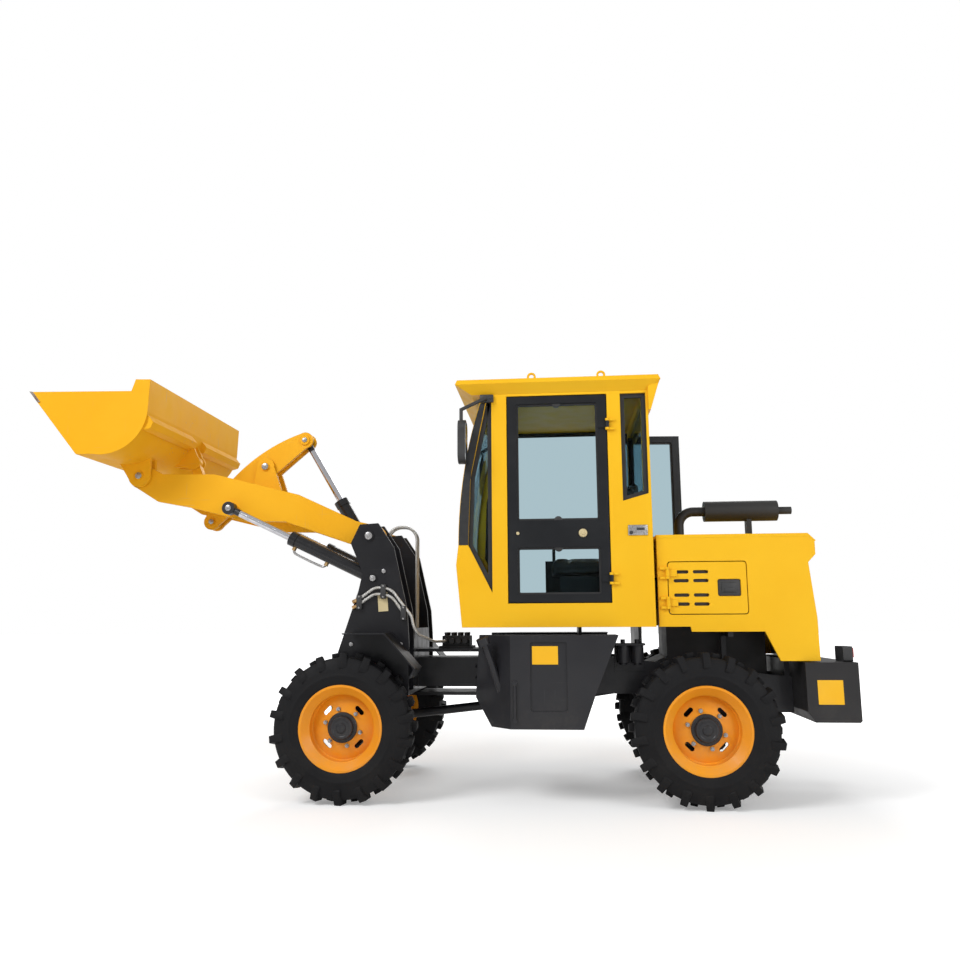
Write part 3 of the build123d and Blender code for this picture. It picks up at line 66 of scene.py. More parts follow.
# %% Camera
yaw, pitch, roll = math.radians(-5.39), math.radians(9.40), math.radians(-0.28)
pivot_x = (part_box("tyre_front_left")[0].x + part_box("tyre_rear_left")[1].x) / 2
photo_width, photo_focal = 960.0, 846.3
ahead, across, up = Vector((0, -1, 0)), Vector((-1, 0, 0)), Vector((0, 0, 1))
ahead_1 = math.cos(yaw) * ahead + math.sin(yaw) * across
right_1 = math.cos(yaw) * across - math.sin(yaw) * ahead
ahead_2 = math.cos(pitch) * ahead_1 + math.sin(pitch) * up
up_2 = math.cos(pitch) * up - math.sin(pitch) * ahead_1
right_3 = math.cos(roll) * right_1 + math.sin(roll) * up_2
up_3 = math.cos(roll) * up_2 - math.sin(roll) * right_1
camera_data = bpy.data.cameras.new("photo_camera")
camera_data.sensor_width = 36.0
camera_data.lens = camera_data.sensor_width * photo_focal / photo_width
camera = bpy.data.objects.new("photo_camera", camera_data)
turn = Matrix((right_3, up_3, -ahead_2)).transposed().to_4x4()
camera.matrix_world = Matrix.Translation((pivot_x - 0.246, 5.721, 1.049)) @ turn
scene.collection.objects.link(camera)
scene.camera = camera
print("lens", round(camera_data.lens, 2), "pivot", round(pivot_x, 4))

# %% [markdown]
# ## Shared shader groups
# Several finishes need the same effects, so each effect is a node group that is built once. A group only
# puts out masks and values; the shader itself stays in the material. All of them read Object coordinates,
# and every object sits at the origin, so a pattern runs on across panels.

# %% Node group helpers
def new_group(name, values, outputs):
    """Shader group with a vector input, named values and named outputs; returns it with its two end nodes."""
    group = bpy.data.node_groups.new(name, "ShaderNodeTree")
    group.interface.new_socket("Vector", in_out="INPUT", socket_type="NodeSocketVector")
    for label, value in values.items():
        socket = group.interface.new_socket(label, in_out="INPUT", socket_type="NodeSocketFloat")
        socket.default_value = value
    for label in outputs:
        group.interface.new_socket(label, in_out="OUTPUT", socket_type="NodeSocketFloat")
    return group, group.nodes.new("NodeGroupInput"), group.nodes.new("NodeGroupOutput")


def fill(tree, socket, item):
    """Set a socket to a number or a tuple, or link another socket to it."""
    if isinstance(item, (int, float, tuple)):
        socket.default_value = item
    else:
        tree.links.new(item, socket)


def wire(tree, node, **sockets):
    """Fill a node's inputs by name; underscores stand for spaces."""
    for label, item in sockets.items():
        fill(tree, node.inputs[label.replace("_", " ")], item)


def added(tree, kind, **sockets):
    """New shader node of a kind with its inputs filled."""
    node = tree.nodes.new("ShaderNode" + kind)
    wire(tree, node, **sockets)
    return node


def noise(tree, vector, scale, detail=4.0, rough=0.55):
    """Noise texture on a vector socket; the scale is a number or a socket."""
    return added(tree, "TexNoise", Vector=vector, Scale=scale, Detail=detail, Roughness=rough).outputs["Fac"]


def ranged(tree, value, from_low, from_high, to_low=0.0, to_high=1.0):
    """Map Range node with a smooth step between two values or sockets."""
    node = added(tree, "MapRange", Value=value, From_Min=from_low, From_Max=from_high)
    wire(tree, node, To_Min=to_low, To_Max=to_high)
    node.interpolation_type = "SMOOTHSTEP"
    return node.outputs["Result"]


def math_node(tree, operation, first, second):
    """Math node on two values or sockets."""
    node = added(tree, "Math")
    node.operation = operation
    for socket, item in zip(node.inputs, (first, second)):
        fill(tree, socket, item)
    return node.outputs["Value"]


print("node helpers ready")

# %% [markdown]
# Ground dust settles low on a machine and fades upwards, broken up by noise. The group takes the heights
# between which it fades and how much there is.

# %% Dust group
dust_values = {"Full height": 0.1, "Clear height": 1.2, "Amount": 0.5}
dust_group, start, end = new_group("ground_dust", dust_values, ["Mask"])
split = added(dust_group, "SeparateXYZ", Vector=start.outputs["Vector"])
heights = start.outputs["Full height"], start.outputs["Clear height"]
fade = ranged(dust_group, split.outputs["Z"], *heights, 1.0, 0.0)
patches = noise(dust_group, start.outputs["Vector"], 5.5, 6.0, 0.62)
broken = ranged(dust_group, patches, 0.36, 0.72)
speckle = ranged(dust_group, noise(dust_group, start.outputs["Vector"], 60.0, 3.0), 0.35, 0.7, 0.55, 1.0)
mask = math_node(dust_group, "MULTIPLY", math_node(dust_group, "MULTIPLY", fade, broken), speckle)
mask = math_node(dust_group, "MULTIPLY", mask, start.outputs["Amount"])
dust_group.links.new(mask, end.inputs["Mask"])
print("group", dust_group.name)

# %% [markdown]
# Sprayed paint isn't one flat colour: it has a slow change of tone, a fine orange-peel skin and a gloss
# that varies.

# %% Paint skin group
paint_group, start, end = new_group("paint_skin", {"Peel scale": 260.0}, ["Tone", "Peel", "Gloss"])
tone = ranged(paint_group, noise(paint_group, start.outputs["Vector"], 1.6, 3.0), 0.3, 0.7)
peel = noise(paint_group, start.outputs["Vector"], start.outputs["Peel scale"], 2.0)
gloss = ranged(paint_group, noise(paint_group, start.outputs["Vector"], 9.0, 5.0), 0.3, 0.75)
for label, value in (("Tone", tone), ("Peel", peel), ("Gloss", gloss)):
    paint_group.links.new(value, end.inputs[label])
print("group", paint_group.name)

# %% [markdown]
# Worked steel has long fine scratches. A noise stretched along one direction and cut off sharply gives a
# few of them.

# %% Scratch group
scratch_group, start, end = new_group("scratches", {"Amount": 0.5}, ["Mask"])
total = None
for angle, stretch in ((0.35, (3.0, 40.0, 90.0)), (-0.6, (60.0, 40.0, 4.0))):
    mapping = added(scratch_group, "Mapping", Vector=start.outputs["Vector"])
    wire(scratch_group, mapping, Rotation=(0.2, angle, 0.3), Scale=stretch)
    lines = ranged(scratch_group, noise(scratch_group, mapping.outputs["Vector"], 1.0, 2.0), 0.66, 0.74)
    total = lines if total is None else math_node(scratch_group, "MAXIMUM", total, lines)
where = ranged(scratch_group, noise(scratch_group, start.outputs["Vector"], 2.3, 3.0), 0.42, 0.66)
total = math_node(scratch_group, "MULTIPLY", total, where)
total = math_node(scratch_group, "MULTIPLY", total, start.outputs["Amount"])
scratch_group.links.new(total, end.inputs["Mask"])
print("group", scratch_group.name)

# %% [markdown]
# ## Finishes
# Each finish starts from the same skeleton: Object coordinates, a Principled shader and an output. A Bevel
# node rounds the shading of the sharp sheet edges by a few millimetres, as a real bent edge catches the
# light.

# %% Material helpers
def new_material(name):
    """Material with Object coordinates; returns it with its tree, shader and coordinate socket."""
    made = bpy.data.materials.new(name)
    made.use_nodes = True
    tree = made.node_tree
    shader = tree.nodes["Principled BSDF"]
    return made, tree, shader, added(tree, "TexCoord").outputs["Object"]


def use_group(tree, group, vector, **values):
    """Place a shared group in a material with its own values."""
    node = added(tree, "Group")
    node.node_tree = group
    wire(tree, node, Vector=vector, **values)
    return node


def mixed(tree, factor, first, second):
    """Colour mix; each colour is a tuple or a socket."""
    node = added(tree, "Mix")
    node.data_type = "RGBA"
    tree.links.new(factor, node.inputs[0])
    for socket, item in ((node.inputs[6], first), (node.inputs[7], second)):
        if isinstance(item, tuple):
            socket.default_value = (*item, 1.0)
        else:
            tree.links.new(item, socket)
    return node.outputs[2]


def bumped(tree, shader, height, strength, distance, edge=0.0):
    """Bump into the shader's normal, over softened edges where a radius is given."""
    bump = added(tree, "Bump", Height=height, Strength=strength, Distance=distance)
    if edge:
        bevel = added(tree, "Bevel", Radius=edge)
        bevel.samples = 4
        wire(tree, bump, Normal=bevel.outputs["Normal"])
    wire(tree, shader, Normal=bump.outputs["Normal"])


def two_tone(name, patches, tones, rough, metallic, skin=None):
    """Plain finish: noise patches mix two tones and two roughnesses, over a fine bumped skin."""
    made, tree, shader, at = new_material(name)
    scale, detail, low, high = patches
    patch = ranged(tree, noise(tree, at, scale, detail), low, high)
    wire(
        tree, shader,
        Base_Color=mixed(tree, patch, *tones), Roughness=ranged(tree, patch, 0.0, 1.0, *rough),
        Metallic=metallic,
    )
    if skin:
        scale, detail, strength, edge = skin
        bumped(tree, shader, noise(tree, at, scale, detail), strength, 0.001, edge)
    return made


dust_colour = (0.36, 0.31, 0.24)
scratch_colour = (0.30, 0.29, 0.28)


def painted(name, colour, deep, rough, coat, dust=0.25, clear=0.9, wear=0.0, edge=0.004, gleam=0.25):
    """Sprayed enamel: two close tones, orange peel, uneven gloss, low dust and a few scratches."""
    made, tree, shader, at = new_material(name)
    skin = use_group(tree, paint_group, at)
    dirt = use_group(tree, dust_group, at, Clear_height=clear, Amount=dust)
    colour_now = mixed(tree, skin.outputs["Tone"], colour, deep)
    if wear:
        marks = use_group(tree, scratch_group, at, Amount=wear)
        colour_now = mixed(tree, marks.outputs["Mask"], colour_now, scratch_colour)
    wire(tree, shader, Base_Color=mixed(tree, dirt.outputs["Mask"], colour_now, dust_colour))
    gloss = ranged(tree, skin.outputs["Gloss"], 0.0, 1.0, rough - 0.05, rough + 0.08)
    wire(
        tree, shader,
        Roughness=ranged(tree, dirt.outputs["Mask"], 0.0, 1.0, gloss, 0.85), Specular_IOR_Level=gleam,
        Coat_Weight=coat, Coat_Roughness=0.12,
    )
    bumped(tree, shader, skin.outputs["Peel"], 0.06, 0.002, edge)
    return made


print("material helpers ready")

# %% [markdown]
# All sheet metal is sprayed, so one recipe makes every paint. Its numbers are the two tones, the roughness,
# the clear coat, the dust and the height where the dust ends. The cab, boom and bucket yellows differ a
# little, as they do in the photograph; the blacks run from glossy cylinder barrels to dull cast iron.

# %% Paint and cast iron
machine_yellow = painted(
    "machine_yellow", (0.88, 0.50, 0.017), (0.86, 0.465, 0.013), 0.42, 0.04, 0.12, 0.9, gleam=0.14
)
boom_yellow = painted(
    "boom_yellow", (0.86, 0.43, 0.013), (0.83, 0.395, 0.010), 0.44, 0.03, 0.10, 0.9, wear=0.22, gleam=0.14
)
bucket_yellow = painted(
    "bucket_yellow", (0.86, 0.44, 0.018), (0.82, 0.395, 0.012), 0.48, 0.0, 0.10, 0.9, wear=0.4, gleam=0.06
)
rim_orange = painted("rim_orange", (0.88, 0.34, 0.012), (0.82, 0.29, 0.008), 0.40, 0.12, 0.22, 0.75)
frame_black = painted(
    "frame_black", (0.014, 0.014, 0.017), (0.021, 0.021, 0.024), 0.34, 0.14, 0.10, 0.8, wear=0.05
)
door_black = painted("door_black", (0.007, 0.008, 0.010), (0.012, 0.013, 0.015), 0.36, 0.06, 0.04, 1.3)
tower_black = painted(
    "tower_black", (0.007, 0.007, 0.009), (0.012, 0.012, 0.014), 0.34, 0.10, 0.08, 0.8, wear=0.05
)
cast_black = painted("cast_black", (0.017, 0.016, 0.017), (0.026, 0.025, 0.026), 0.50, 0.04, 0.12, 0.8)
barrel_black = painted("barrel_black", (0.011, 0.011, 0.013), (0.017, 0.017, 0.019), 0.26, 0.2, 0.05, 1.0)
floor_grey = painted("floor_grey", (0.06, 0.06, 0.062), (0.09, 0.09, 0.092), 0.6, 0.0, 0.3, 1.4)
muffler_black = painted(
    "muffler_black", (0.013, 0.013, 0.014), (0.026, 0.025, 0.024), 0.48, 0.0, 0.05, 1.0, gleam=0.35
)
print("paints made")

# %% [markdown]
# The cutting edge is bare wear steel: bright where it rubs, brown-grey elsewhere. The piston rods are hard
# chrome, and the eye forged on the end of each lift and tilt rod is painted black, by its distance from the
# pin.

# %% Bare metal
wear_steel, tree, shader, at = new_material("wear_steel")
marks = use_group(tree, scratch_group, at, Amount=1.0)
rust = ranged(tree, noise(tree, at, 14.0, 6.0, 0.65), 0.42, 0.68)
base = mixed(tree, rust, (0.36, 0.34, 0.32), (0.16, 0.10, 0.065))
wire(
    tree, shader,
    Base_Color=mixed(tree, marks.outputs["Mask"], base, (0.55, 0.54, 0.52)),
    Roughness=ranged(tree, rust, 0.0, 1.0, 0.34, 0.72), Metallic=ranged(tree, rust, 0.0, 1.0, 0.95, 0.35),
)
bumped(tree, shader, noise(tree, at, 90.0, 4.0), 0.15, 0.002, 0.002)

lift_eye, tilt_eye = (pivot_x + 1.894, 1.775), (pivot_x + 1.520, 2.300)
rod_eyes = lift_eye, tilt_eye
eye_reach = 0.082
rod_chrome, tree, shader, at = new_material("rod_chrome")
smear = ranged(tree, noise(tree, at, 22.0, 4.0), 0.35, 0.75)
place = added(tree, "SeparateXYZ", Vector=at)
nearest = None
for x, z in rod_eyes:
    across_x = math_node(tree, "SUBTRACT", place.outputs["X"], x)
    across_z = math_node(tree, "SUBTRACT", place.outputs["Z"], z)
    squares = [math_node(tree, "MULTIPLY", side, side) for side in (across_x, across_z)]
    gap = math_node(tree, "POWER", math_node(tree, "ADD", *squares), 0.5)
    nearest = gap if nearest is None else math_node(tree, "MINIMUM", nearest, gap)
eye_paint = ranged(tree, nearest, eye_reach, eye_reach + 0.004, 1.0, 0.0)
chrome = mixed(tree, smear, (0.62, 0.62, 0.65), (0.48, 0.48, 0.51))
wire(tree, shader, Base_Color=mixed(tree, eye_paint, chrome, (0.010, 0.010, 0.012)))
polish = ranged(tree, smear, 0.0, 1.0, 0.10, 0.24)
wire(
    tree, shader,
    Roughness=ranged(tree, eye_paint, 0.0, 1.0, polish, 0.36),
    Metallic=ranged(tree, eye_paint, 0.0, 1.0, 1.0, 0.0),
)
bumped(tree, shader, noise(tree, at, 400.0, 2.0), 0.03, 0.001, 0.002)

steel_tones = (0.42, 0.42, 0.43), (0.22, 0.20, 0.18)
brass_tones = (0.62, 0.43, 0.20), (0.36, 0.22, 0.10)
silver_tones = (0.72, 0.75, 0.76), (0.60, 0.62, 0.62)
bolt_steel = two_tone(
    "bolt_steel", (120.0, 4.0, 0.4, 0.7), steel_tones, (0.3, 0.6), 0.9, (300.0, 2.0, 0.1, 0.0)
)
fitting_brass = two_tone(
    "fitting_brass", (60.0, 4.0, 0.35, 0.7), brass_tones, (0.28, 0.5), 0.9, (250.0, 2.0, 0.1, 0.0)
)
mirror_silver = two_tone("mirror_silver", (25.0, 4.0, 0.4, 0.8), silver_tones, (0.03, 0.12), 1.0)
print("metals made")

# %% [markdown]
# The hydraulic hoses wear a sleeve of bright braid. Two waves that run against each other, one leaning each
# way, give the crossed strands, in the colour as well as in the bump.

# %% Hose sleeve
hose_braid, tree, shader, at = new_material("hose_braid")
crossed = None
for lean in (0.8, -0.8):
    mapping = added(tree, "Mapping", Vector=at, Rotation=(0.3, lean, 0.0))
    wave = added(tree, "TexWave", Vector=mapping.outputs["Vector"], Scale=75.0).outputs["Fac"]
    crossed = wave if crossed is None else math_node(tree, "MULTIPLY", crossed, wave)
soil = ranged(tree, noise(tree, at, 18.0, 5.0), 0.45, 0.75, 0.0, 0.55)
base = mixed(tree, crossed, (0.40, 0.395, 0.38), (0.74, 0.73, 0.70))
wire(
    tree, shader,
    Base_Color=mixed(tree, soil, base, (0.30, 0.27, 0.22)),
    Roughness=ranged(tree, soil, 0.0, 0.55, 0.34, 0.6), Metallic=0.45,
)
bumped(tree, shader, crossed, 0.5, 0.002)
print("hose sleeve made")

# %% [markdown]
# Tyre rubber is a dull charcoal that goes brown-grey with dust, with a pebbled skin.

# %% Rubber
tyre_rubber, tree, shader, at = new_material("tyre_rubber")
dirt = use_group(tree, dust_group, at, Full_height=-0.1, Clear_height=0.75, Amount=0.12)
blotch = ranged(tree, noise(tree, at, 7.0, 5.0), 0.3, 0.7)
base = mixed(tree, blotch, (0.006, 0.006, 0.007), (0.011, 0.011, 0.012))
wire(
    tree, shader,
    Base_Color=mixed(tree, dirt.outputs["Mask"], base, (0.085, 0.075, 0.062)), Specular_IOR_Level=0.16,
    Roughness=ranged(tree, blotch, 0.0, 1.0, 0.55, 0.75),
)
bumped(tree, shader, noise(tree, at, 220.0, 5.0, 0.7), 0.35, 0.003)
print("rubber made")

# %% [markdown]
# The cab glass is clear with a blue-green cast and a film of dust. The cast is darker than the glass's own,
# as painted shade for the dim cab behind it. Lenses are moulded red plastic with fine ribs.

# %% Glass and lenses
cab_glass_shade_tint, tree, shader, at = new_material("cab_glass_shade_tint")
film = ranged(tree, noise(tree, at, 6.0, 5.0), 0.35, 0.8)
# The dark blue-grey colour is partly the glass's own tint and partly painted shade: it dims the glass to
# stand for the shaded cab inside.
wire(
    tree, shader,
    Roughness=ranged(tree, film, 0.0, 1.0, 0.0, 0.06), Base_Color=(0.40, 0.53, 0.58, 1.0),
    Transmission_Weight=1.0, IOR=1.12,
)

lamp_red, tree, shader, at = new_material("lamp_red")
ribs = added(tree, "TexWave", Vector=at, Scale=70.0)
ribs.bands_direction = "Y"
tone = ranged(tree, noise(tree, at, 30.0, 3.0), 0.3, 0.7)
wire(
    tree, shader,
    Base_Color=mixed(tree, tone, (0.55, 0.02, 0.012), (0.42, 0.012, 0.01)),
    Roughness=ranged(tree, tone, 0.0, 1.0, 0.12, 0.2),
)
bumped(tree, shader, ribs.outputs["Fac"], 0.3, 0.003, 0.003)
print("glass and lenses made")

# %% [markdown]
# The seat is black vinyl with a fine leather-like grain; small plastic parts are moulded with a faint
# texture. Rubber seals and blank plates get finishes of their own.

# %% Vinyl and plastic
seat_vinyl, tree, shader, at = new_material("seat_vinyl")
grain = added(tree, "TexVoronoi", Vector=at, Scale=320.0)
wear = ranged(tree, noise(tree, at, 10.0, 4.0), 0.35, 0.7)
wire(
    tree, shader,
    Base_Color=mixed(tree, wear, (0.018, 0.018, 0.019), (0.040, 0.039, 0.038)),
    Roughness=ranged(tree, wear, 0.0, 1.0, 0.38, 0.58),
)
bumped(tree, shader, grain.outputs["Distance"], 0.35, 0.002)

plastic_tones = (0.018, 0.018, 0.019), (0.030, 0.030, 0.031)
seal_tones = (0.007, 0.007, 0.008), (0.020, 0.020, 0.021)
moulded_black = two_tone(
    "moulded_black", (8.0, 3.0, 0.3, 0.7), plastic_tones, (0.42, 0.6), 0.0, (500.0, 3.0, 0.2, 0.003)
)
seal_rubber = two_tone(
    "seal_rubber", (35.0, 5.0, 0.35, 0.75), seal_tones, (0.5, 0.75), 0.0, (350.0, 3.0, 0.15, 0.0)
)
plate_cream = painted("plate_cream", (0.62, 0.52, 0.30), (0.55, 0.45, 0.25), 0.45, 0.0, 0.2, 1.3, edge=0.001)
plate_yellow = painted(
    "plate_yellow", (0.93, 0.52, 0.02), (0.88, 0.46, 0.015), 0.4, 0.0, 0.2, 1.0, edge=0.001
)
print("trim finishes made")

# %% [markdown]
# ## Dressing the solids
# Every solid gets a finish in its own slots. Only the tyres and the seat pads are swapped for other shapes
# further on; the rest show as they are.

# %% Assign finishes
finishes = {
    machine_yellow: "hood_side_left hood_side_right hood_hatch hood_top "
    "cab_side_left cab_side_right cab_front_panel cab_rear_wall cab_roof",
    boom_yellow: "boom bell_crank bucket_link",
    bucket_yellow: "bucket",
    rim_orange: "rim_front_left rim_front_right rim_rear_left rim_rear_right",
    tower_black: "front_frame front_fenders",
    frame_black: "front_axle rear_axle rear_frame drive_shaft_front drive_shaft_rear "
    "tank_left tank_right rear_grille seat_base filters",
    cast_black: "counterweight engine_block control_valve",
    muffler_black: "muffler",
    door_black: "door_left door_right",
    floor_grey: "cab_floor",
    cab_glass_shade_tint: "windshield cab_glass door_glass_left door_glass_right",
    hose_braid: "hoses",
    wear_steel: "cutting_edge",
    barrel_black: "lift_barrels tilt_barrel steer_barrel_left steer_barrel_right",
    rod_chrome: "lift_rods tilt_rod steer_rod_left steer_rod_right",
    moulded_black: "steering_column control_levers mirrors tail_lamps",
    tyre_rubber: "tyre_front_left tyre_front_right tyre_rear_left tyre_rear_right",
    seat_vinyl: "seat_cushion seat_back",
}
dressed = set()
for finish, names in finishes.items():
    for name in names.split():
        for slot in nodes[name].material_slots:
            slot.material = finish
        dressed.add(name)
print("dressed", len(dressed), "left bare:", sorted(set(nodes) - dressed))

# %% [markdown]
# ## Mesh helpers
# A new piece is shaped in a bmesh, written to an object at the origin, and rides on the body that carries
# it.

# %% Mesh helpers
def settle(bm, name, finish, body, replaced=(), smooth=30.0):
    """Turn a bmesh into a piece of the object that rides on a body."""
    bmesh.ops.remove_doubles(bm, verts=bm.verts, dist=1e-5)
    bmesh.ops.recalc_face_normals(bm, faces=bm.faces)
    mesh = bpy.data.meshes.new(name)
    bm.to_mesh(mesh)
    bm.free()
    mesh.materials.append(finish)
    piece = bpy.data.objects.new(name, mesh)
    scene.collection.objects.link(piece)
    mesh.polygons.foreach_set("use_smooth", [True] * len(mesh.polygons))
    mesh.set_sharp_from_angle(angle=math.radians(smooth))
    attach(piece, body)
    if replaced:
        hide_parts(*replaced)
    print(name, len(mesh.polygons), "faces on", body)


def turned(bm, profile, centre, steps, outward=1.0):
    """Spin a profile of (distance along Y, radius) about an axle at a centre."""
    verts = [bm.verts.new(centre + Vector((0, outward * along, radius))) for along, radius in profile]
    edges = [bm.edges.new(pair) for pair in zip(verts, verts[1:])]
    bmesh.ops.spin(
        bm, geom=verts + edges, cent=centre, axis=(0, 1, 0), dvec=(0, 0, 0), angle=math.tau,
        steps=steps, use_merge=True,
    )


def rounded(bm, edges, offset, segments=2):
    """Bevel edges round."""
    bmesh.ops.bevel(
        bm, geom=edges, offset=offset, segments=segments, profile=0.5, affect="EDGES", material=-1,
        clamp_overlap=True,
    )


def thickened(bm, faces, shift):
    """Extrude faces by a shift."""
    grown = bmesh.ops.extrude_face_region(bm, geom=faces)
    moved = [item for item in grown["geom"] if isinstance(item, bmesh.types.BMVert)]
    bmesh.ops.translate(bm, verts=moved, vec=shift)


def middle(node):
    """Centre of a CAD node's box."""
    low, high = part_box(node)
    return (low + high) / 2


print("mesh helpers ready")

# %% [markdown]
# Most small hardware is one of three forms: a bevelled block, a stud with a rounded crown, or a pipe along
# points. The pipe is a curve with a round bevel that is turned into a mesh, because a curve keeps its
# section square to its path.

# %% Hardware helpers
def block(bm, centre, size, bevel):
    """Box with rounded edges."""
    place = Matrix.Translation(centre) @ Matrix.Diagonal((*size, 1.0))
    made = bmesh.ops.create_cube(bm, size=1.0, matrix=place)
    rounded(bm, list({edge for vert in made["verts"] for edge in vert.link_edges}), bevel)


def stud(bm, place, out, radius, height, sides, crown=0.2):
    """Pin end, cap or bolt head that stands on a place along a direction, with a rounded crown."""
    place, out = Vector(place), Vector(out).normalized()
    turn = out.to_track_quat("Z", "Y").to_matrix().to_4x4()
    made = bmesh.ops.create_cone(
        bm, cap_ends=True, segments=sides, radius1=radius, radius2=radius, depth=height,
        matrix=Matrix.Translation(place + out * height / 2) @ turn,
    )
    top = {vert for vert in made["verts"] if (vert.co - place).dot(out) > height / 2}
    rim = [edge for edge in {e for vert in top for e in vert.link_edges} if set(edge.verts) <= top]
    rounded(bm, rim, crown * radius)


def pipe(bm, points, radius, sides):
    """Round pipe that follows points smoothly."""
    curve = bpy.data.curves.new("pipe", "CURVE")
    curve.dimensions = "3D"
    curve.bevel_depth = radius
    curve.bevel_resolution = sides
    curve.use_fill_caps = True
    curve.resolution_u = 6
    spline = curve.splines.new("NURBS")
    spline.points.add(len(points) - 1)
    for spot, place in zip(spline.points, points):
        spot.co = (*place, 1.0)
    spline.order_u = 3
    spline.use_endpoint_u = True
    holder = bpy.data.objects.new("pipe", curve)
    scene.collection.objects.link(holder)
    mesh = bpy.data.meshes.new_from_object(holder.evaluated_get(bpy.context.evaluated_depsgraph_get()))
    bm.from_mesh(mesh)
    bpy.data.objects.remove(holder)
    bpy.data.curves.remove(curve)
    bpy.data.meshes.remove(mesh)


def from_pivot(x, y, z):
    """Place in the frame from distances ahead of the steering pivot, to the left and above the ground."""
    return Vector((pivot_x + x, y, z))


print("hardware helpers ready")

# %% [markdown]
# ## Tyres
# The solid tyre has flat facets, to stay light for the collision model. On the machine the carcass is round
# with a bulged sidewall, so the piece that shows is a spun profile of the same size, with a lug extruded
# from its outline, bevelled, and repeated round each shoulder. The two rows are half a step apart.

# %% Tyres
corners = ("front_left", "front_right", "rear_left", "rear_right")
lug_count = 18
half_section = [
    (0.0597, 0.2068), (0.0990, 0.2495), (0.1035, 0.2600), (0.1085, 0.2760), (0.1100, 0.2950),
    (0.1118, 0.2985), (0.1118, 0.3055), (0.1100, 0.3090), (0.1095, 0.3270), (0.1060, 0.3460),
    (0.0985, 0.3720), (0.0900, 0.3920), (0.0800, 0.4015), (0.0400, 0.4040), (0.0, 0.4040),
]
section = half_section + [(-along, radius) for along, radius in reversed(half_section[:-1])]
lug_half_width, lug_lean, crest_height = 0.024, math.radians(12), 0.40
lug_outline = [
    (0.010, 0.394), (0.010, 0.430), (0.090, 0.430), (0.1085, 0.372), (0.1115, 0.348), (0.1060, 0.338),
]
for corner in corners:
    node = "tyre_" + corner
    centre = middle(node)
    bm = bmesh.new()
    turned(bm, section + section[:1], centre, 88)
    lug = bmesh.new()
    base = lug.faces.new([lug.verts.new((-lug_half_width, along, radius)) for along, radius in lug_outline])
    thickened(lug, [base], (2 * lug_half_width, 0, 0))
    crest = [v for v in lug.verts if v.co.z > crest_height]
    bmesh.ops.scale(lug, verts=crest, vec=(0.86, 1, 1))
    bmesh.ops.rotate(lug, verts=lug.verts, cent=(0, 0.05, 0), matrix=Matrix.Rotation(lug_lean, 3, "Z"))
    rounded(lug, lug.edges[:], 0.0035)
    lug_mesh = bpy.data.meshes.new("lug")
    lug.to_mesh(lug_mesh)
    lug.free()
    for shift, flip in ((0.0, Matrix.Identity(4)), (0.5, Matrix.Rotation(math.pi, 4, "Z"))):
        for step in range(lug_count):
            spin = Matrix.Rotation(math.tau * (step + shift) / lug_count, 4, "Y")
            before = len(bm.verts)
            bm.from_mesh(lug_mesh)
            bm.verts.ensure_lookup_table()
            bmesh.ops.transform(bm, matrix=Matrix.Translation(centre) @ spin @ flip, verts=bm.verts[before:])
    bpy.data.meshes.remove(lug_mesh)
    settle(bm, node + "_round", tyre_rubber, "wheel_" + corner, (node,), 35.0)

# %% [markdown]
# ## Hubs and wheel bolts
# A black hub cover closes the middle of each orange rim, with a ring of nuts on the dish around it. The
# cover is turned on a lathe, so it is a spun profile. Each nut is a six-sided cone with a stud end showing,
# and one place turned about the axle puts them all on.

# %% Hubs and bolts
nut_count, nut_circle = 6, 0.108
for corner in corners:
    centre = middle("tyre_" + corner)
    outward = 1.0 if centre.y > 0 else -1.0
    bm = bmesh.new()
    profile = [
        (0.0325, 0.088), (0.0440, 0.088), (0.0475, 0.084), (0.0480, 0.070), (0.0720, 0.0665), (0.0765, 0.062),
        (0.0775, 0.050), (0.0750, 0.046), (0.0750, 0.030), (0.0805, 0.026), (0.0825, 0.020), (0.0830, 0.0),
    ]
    turned(bm, profile, centre, 48, outward)
    settle(bm, "hub_cover_" + corner, frame_black, "wheel_" + corner)
    bm = bmesh.new()
    for step in range(nut_count):
        spin = Matrix.Rotation(math.tau * (step + 0.25) / nut_count, 4, "Y")
        for radius, depth, sides, base in ((0.0135, 0.016, 6, 0.022), (0.0075, 0.014, 12, 0.034)):
            seat = Matrix.Translation((0, outward * (base + depth / 2), nut_circle))
            upright = Matrix.Rotation(-outward * math.pi / 2, 4, "X")
            bmesh.ops.create_cone(
                bm, cap_ends=True, segments=sides, radius1=radius, radius2=radius * 0.93, depth=depth,
                matrix=Matrix.Translation(centre) @ spin @ seat @ upright,
            )
    settle(bm, "wheel_nuts_" + corner, bolt_steel, "wheel_" + corner)

# %% [markdown]
# ## Window seals
# Each fixed pane sits in a black rubber seal. The seal follows the pane's own outline, so it starts from a
# merged copy of the pane: the faces that look outwards are kept, inset by the seal's width, and the ring is
# thickened.

# %% Seal helper
def outlined(node, facing, width, depth, keep_ring=True, pick=lambda centre: True):
    """Faces of a node that look one way, inset, as a thickened ring or as the plate inside it."""
    facing = Vector(facing).normalized()
    bm = bmesh.new()
    bm.from_mesh(nodes[node].data)
    bmesh.ops.remove_doubles(bm, verts=bm.verts, dist=1e-5)
    away = [f for f in bm.faces if f.normal.dot(facing) < 0.7 or not pick(f.calc_center_median())]
    bmesh.ops.delete(bm, geom=away, context="FACES")
    bmesh.ops.dissolve_limit(bm, angle_limit=0.02, verts=bm.verts, edges=bm.edges)
    inset = bmesh.ops.inset_region(
        bm, faces=bm.faces[:], thickness=width, use_boundary=True, use_even_offset=True
    )
    ring = set(inset["faces"])
    spare = [face for face in bm.faces if (face in ring) != keep_ring]
    bmesh.ops.delete(bm, geom=spare, context="FACES")
    thickened(bm, bm.faces[:], facing * depth)
    bmesh.ops.recalc_face_normals(bm, faces=bm.faces)
    mesh = bpy.data.meshes.new("outlined")
    bm.to_mesh(mesh)
    bm.free()
    return mesh


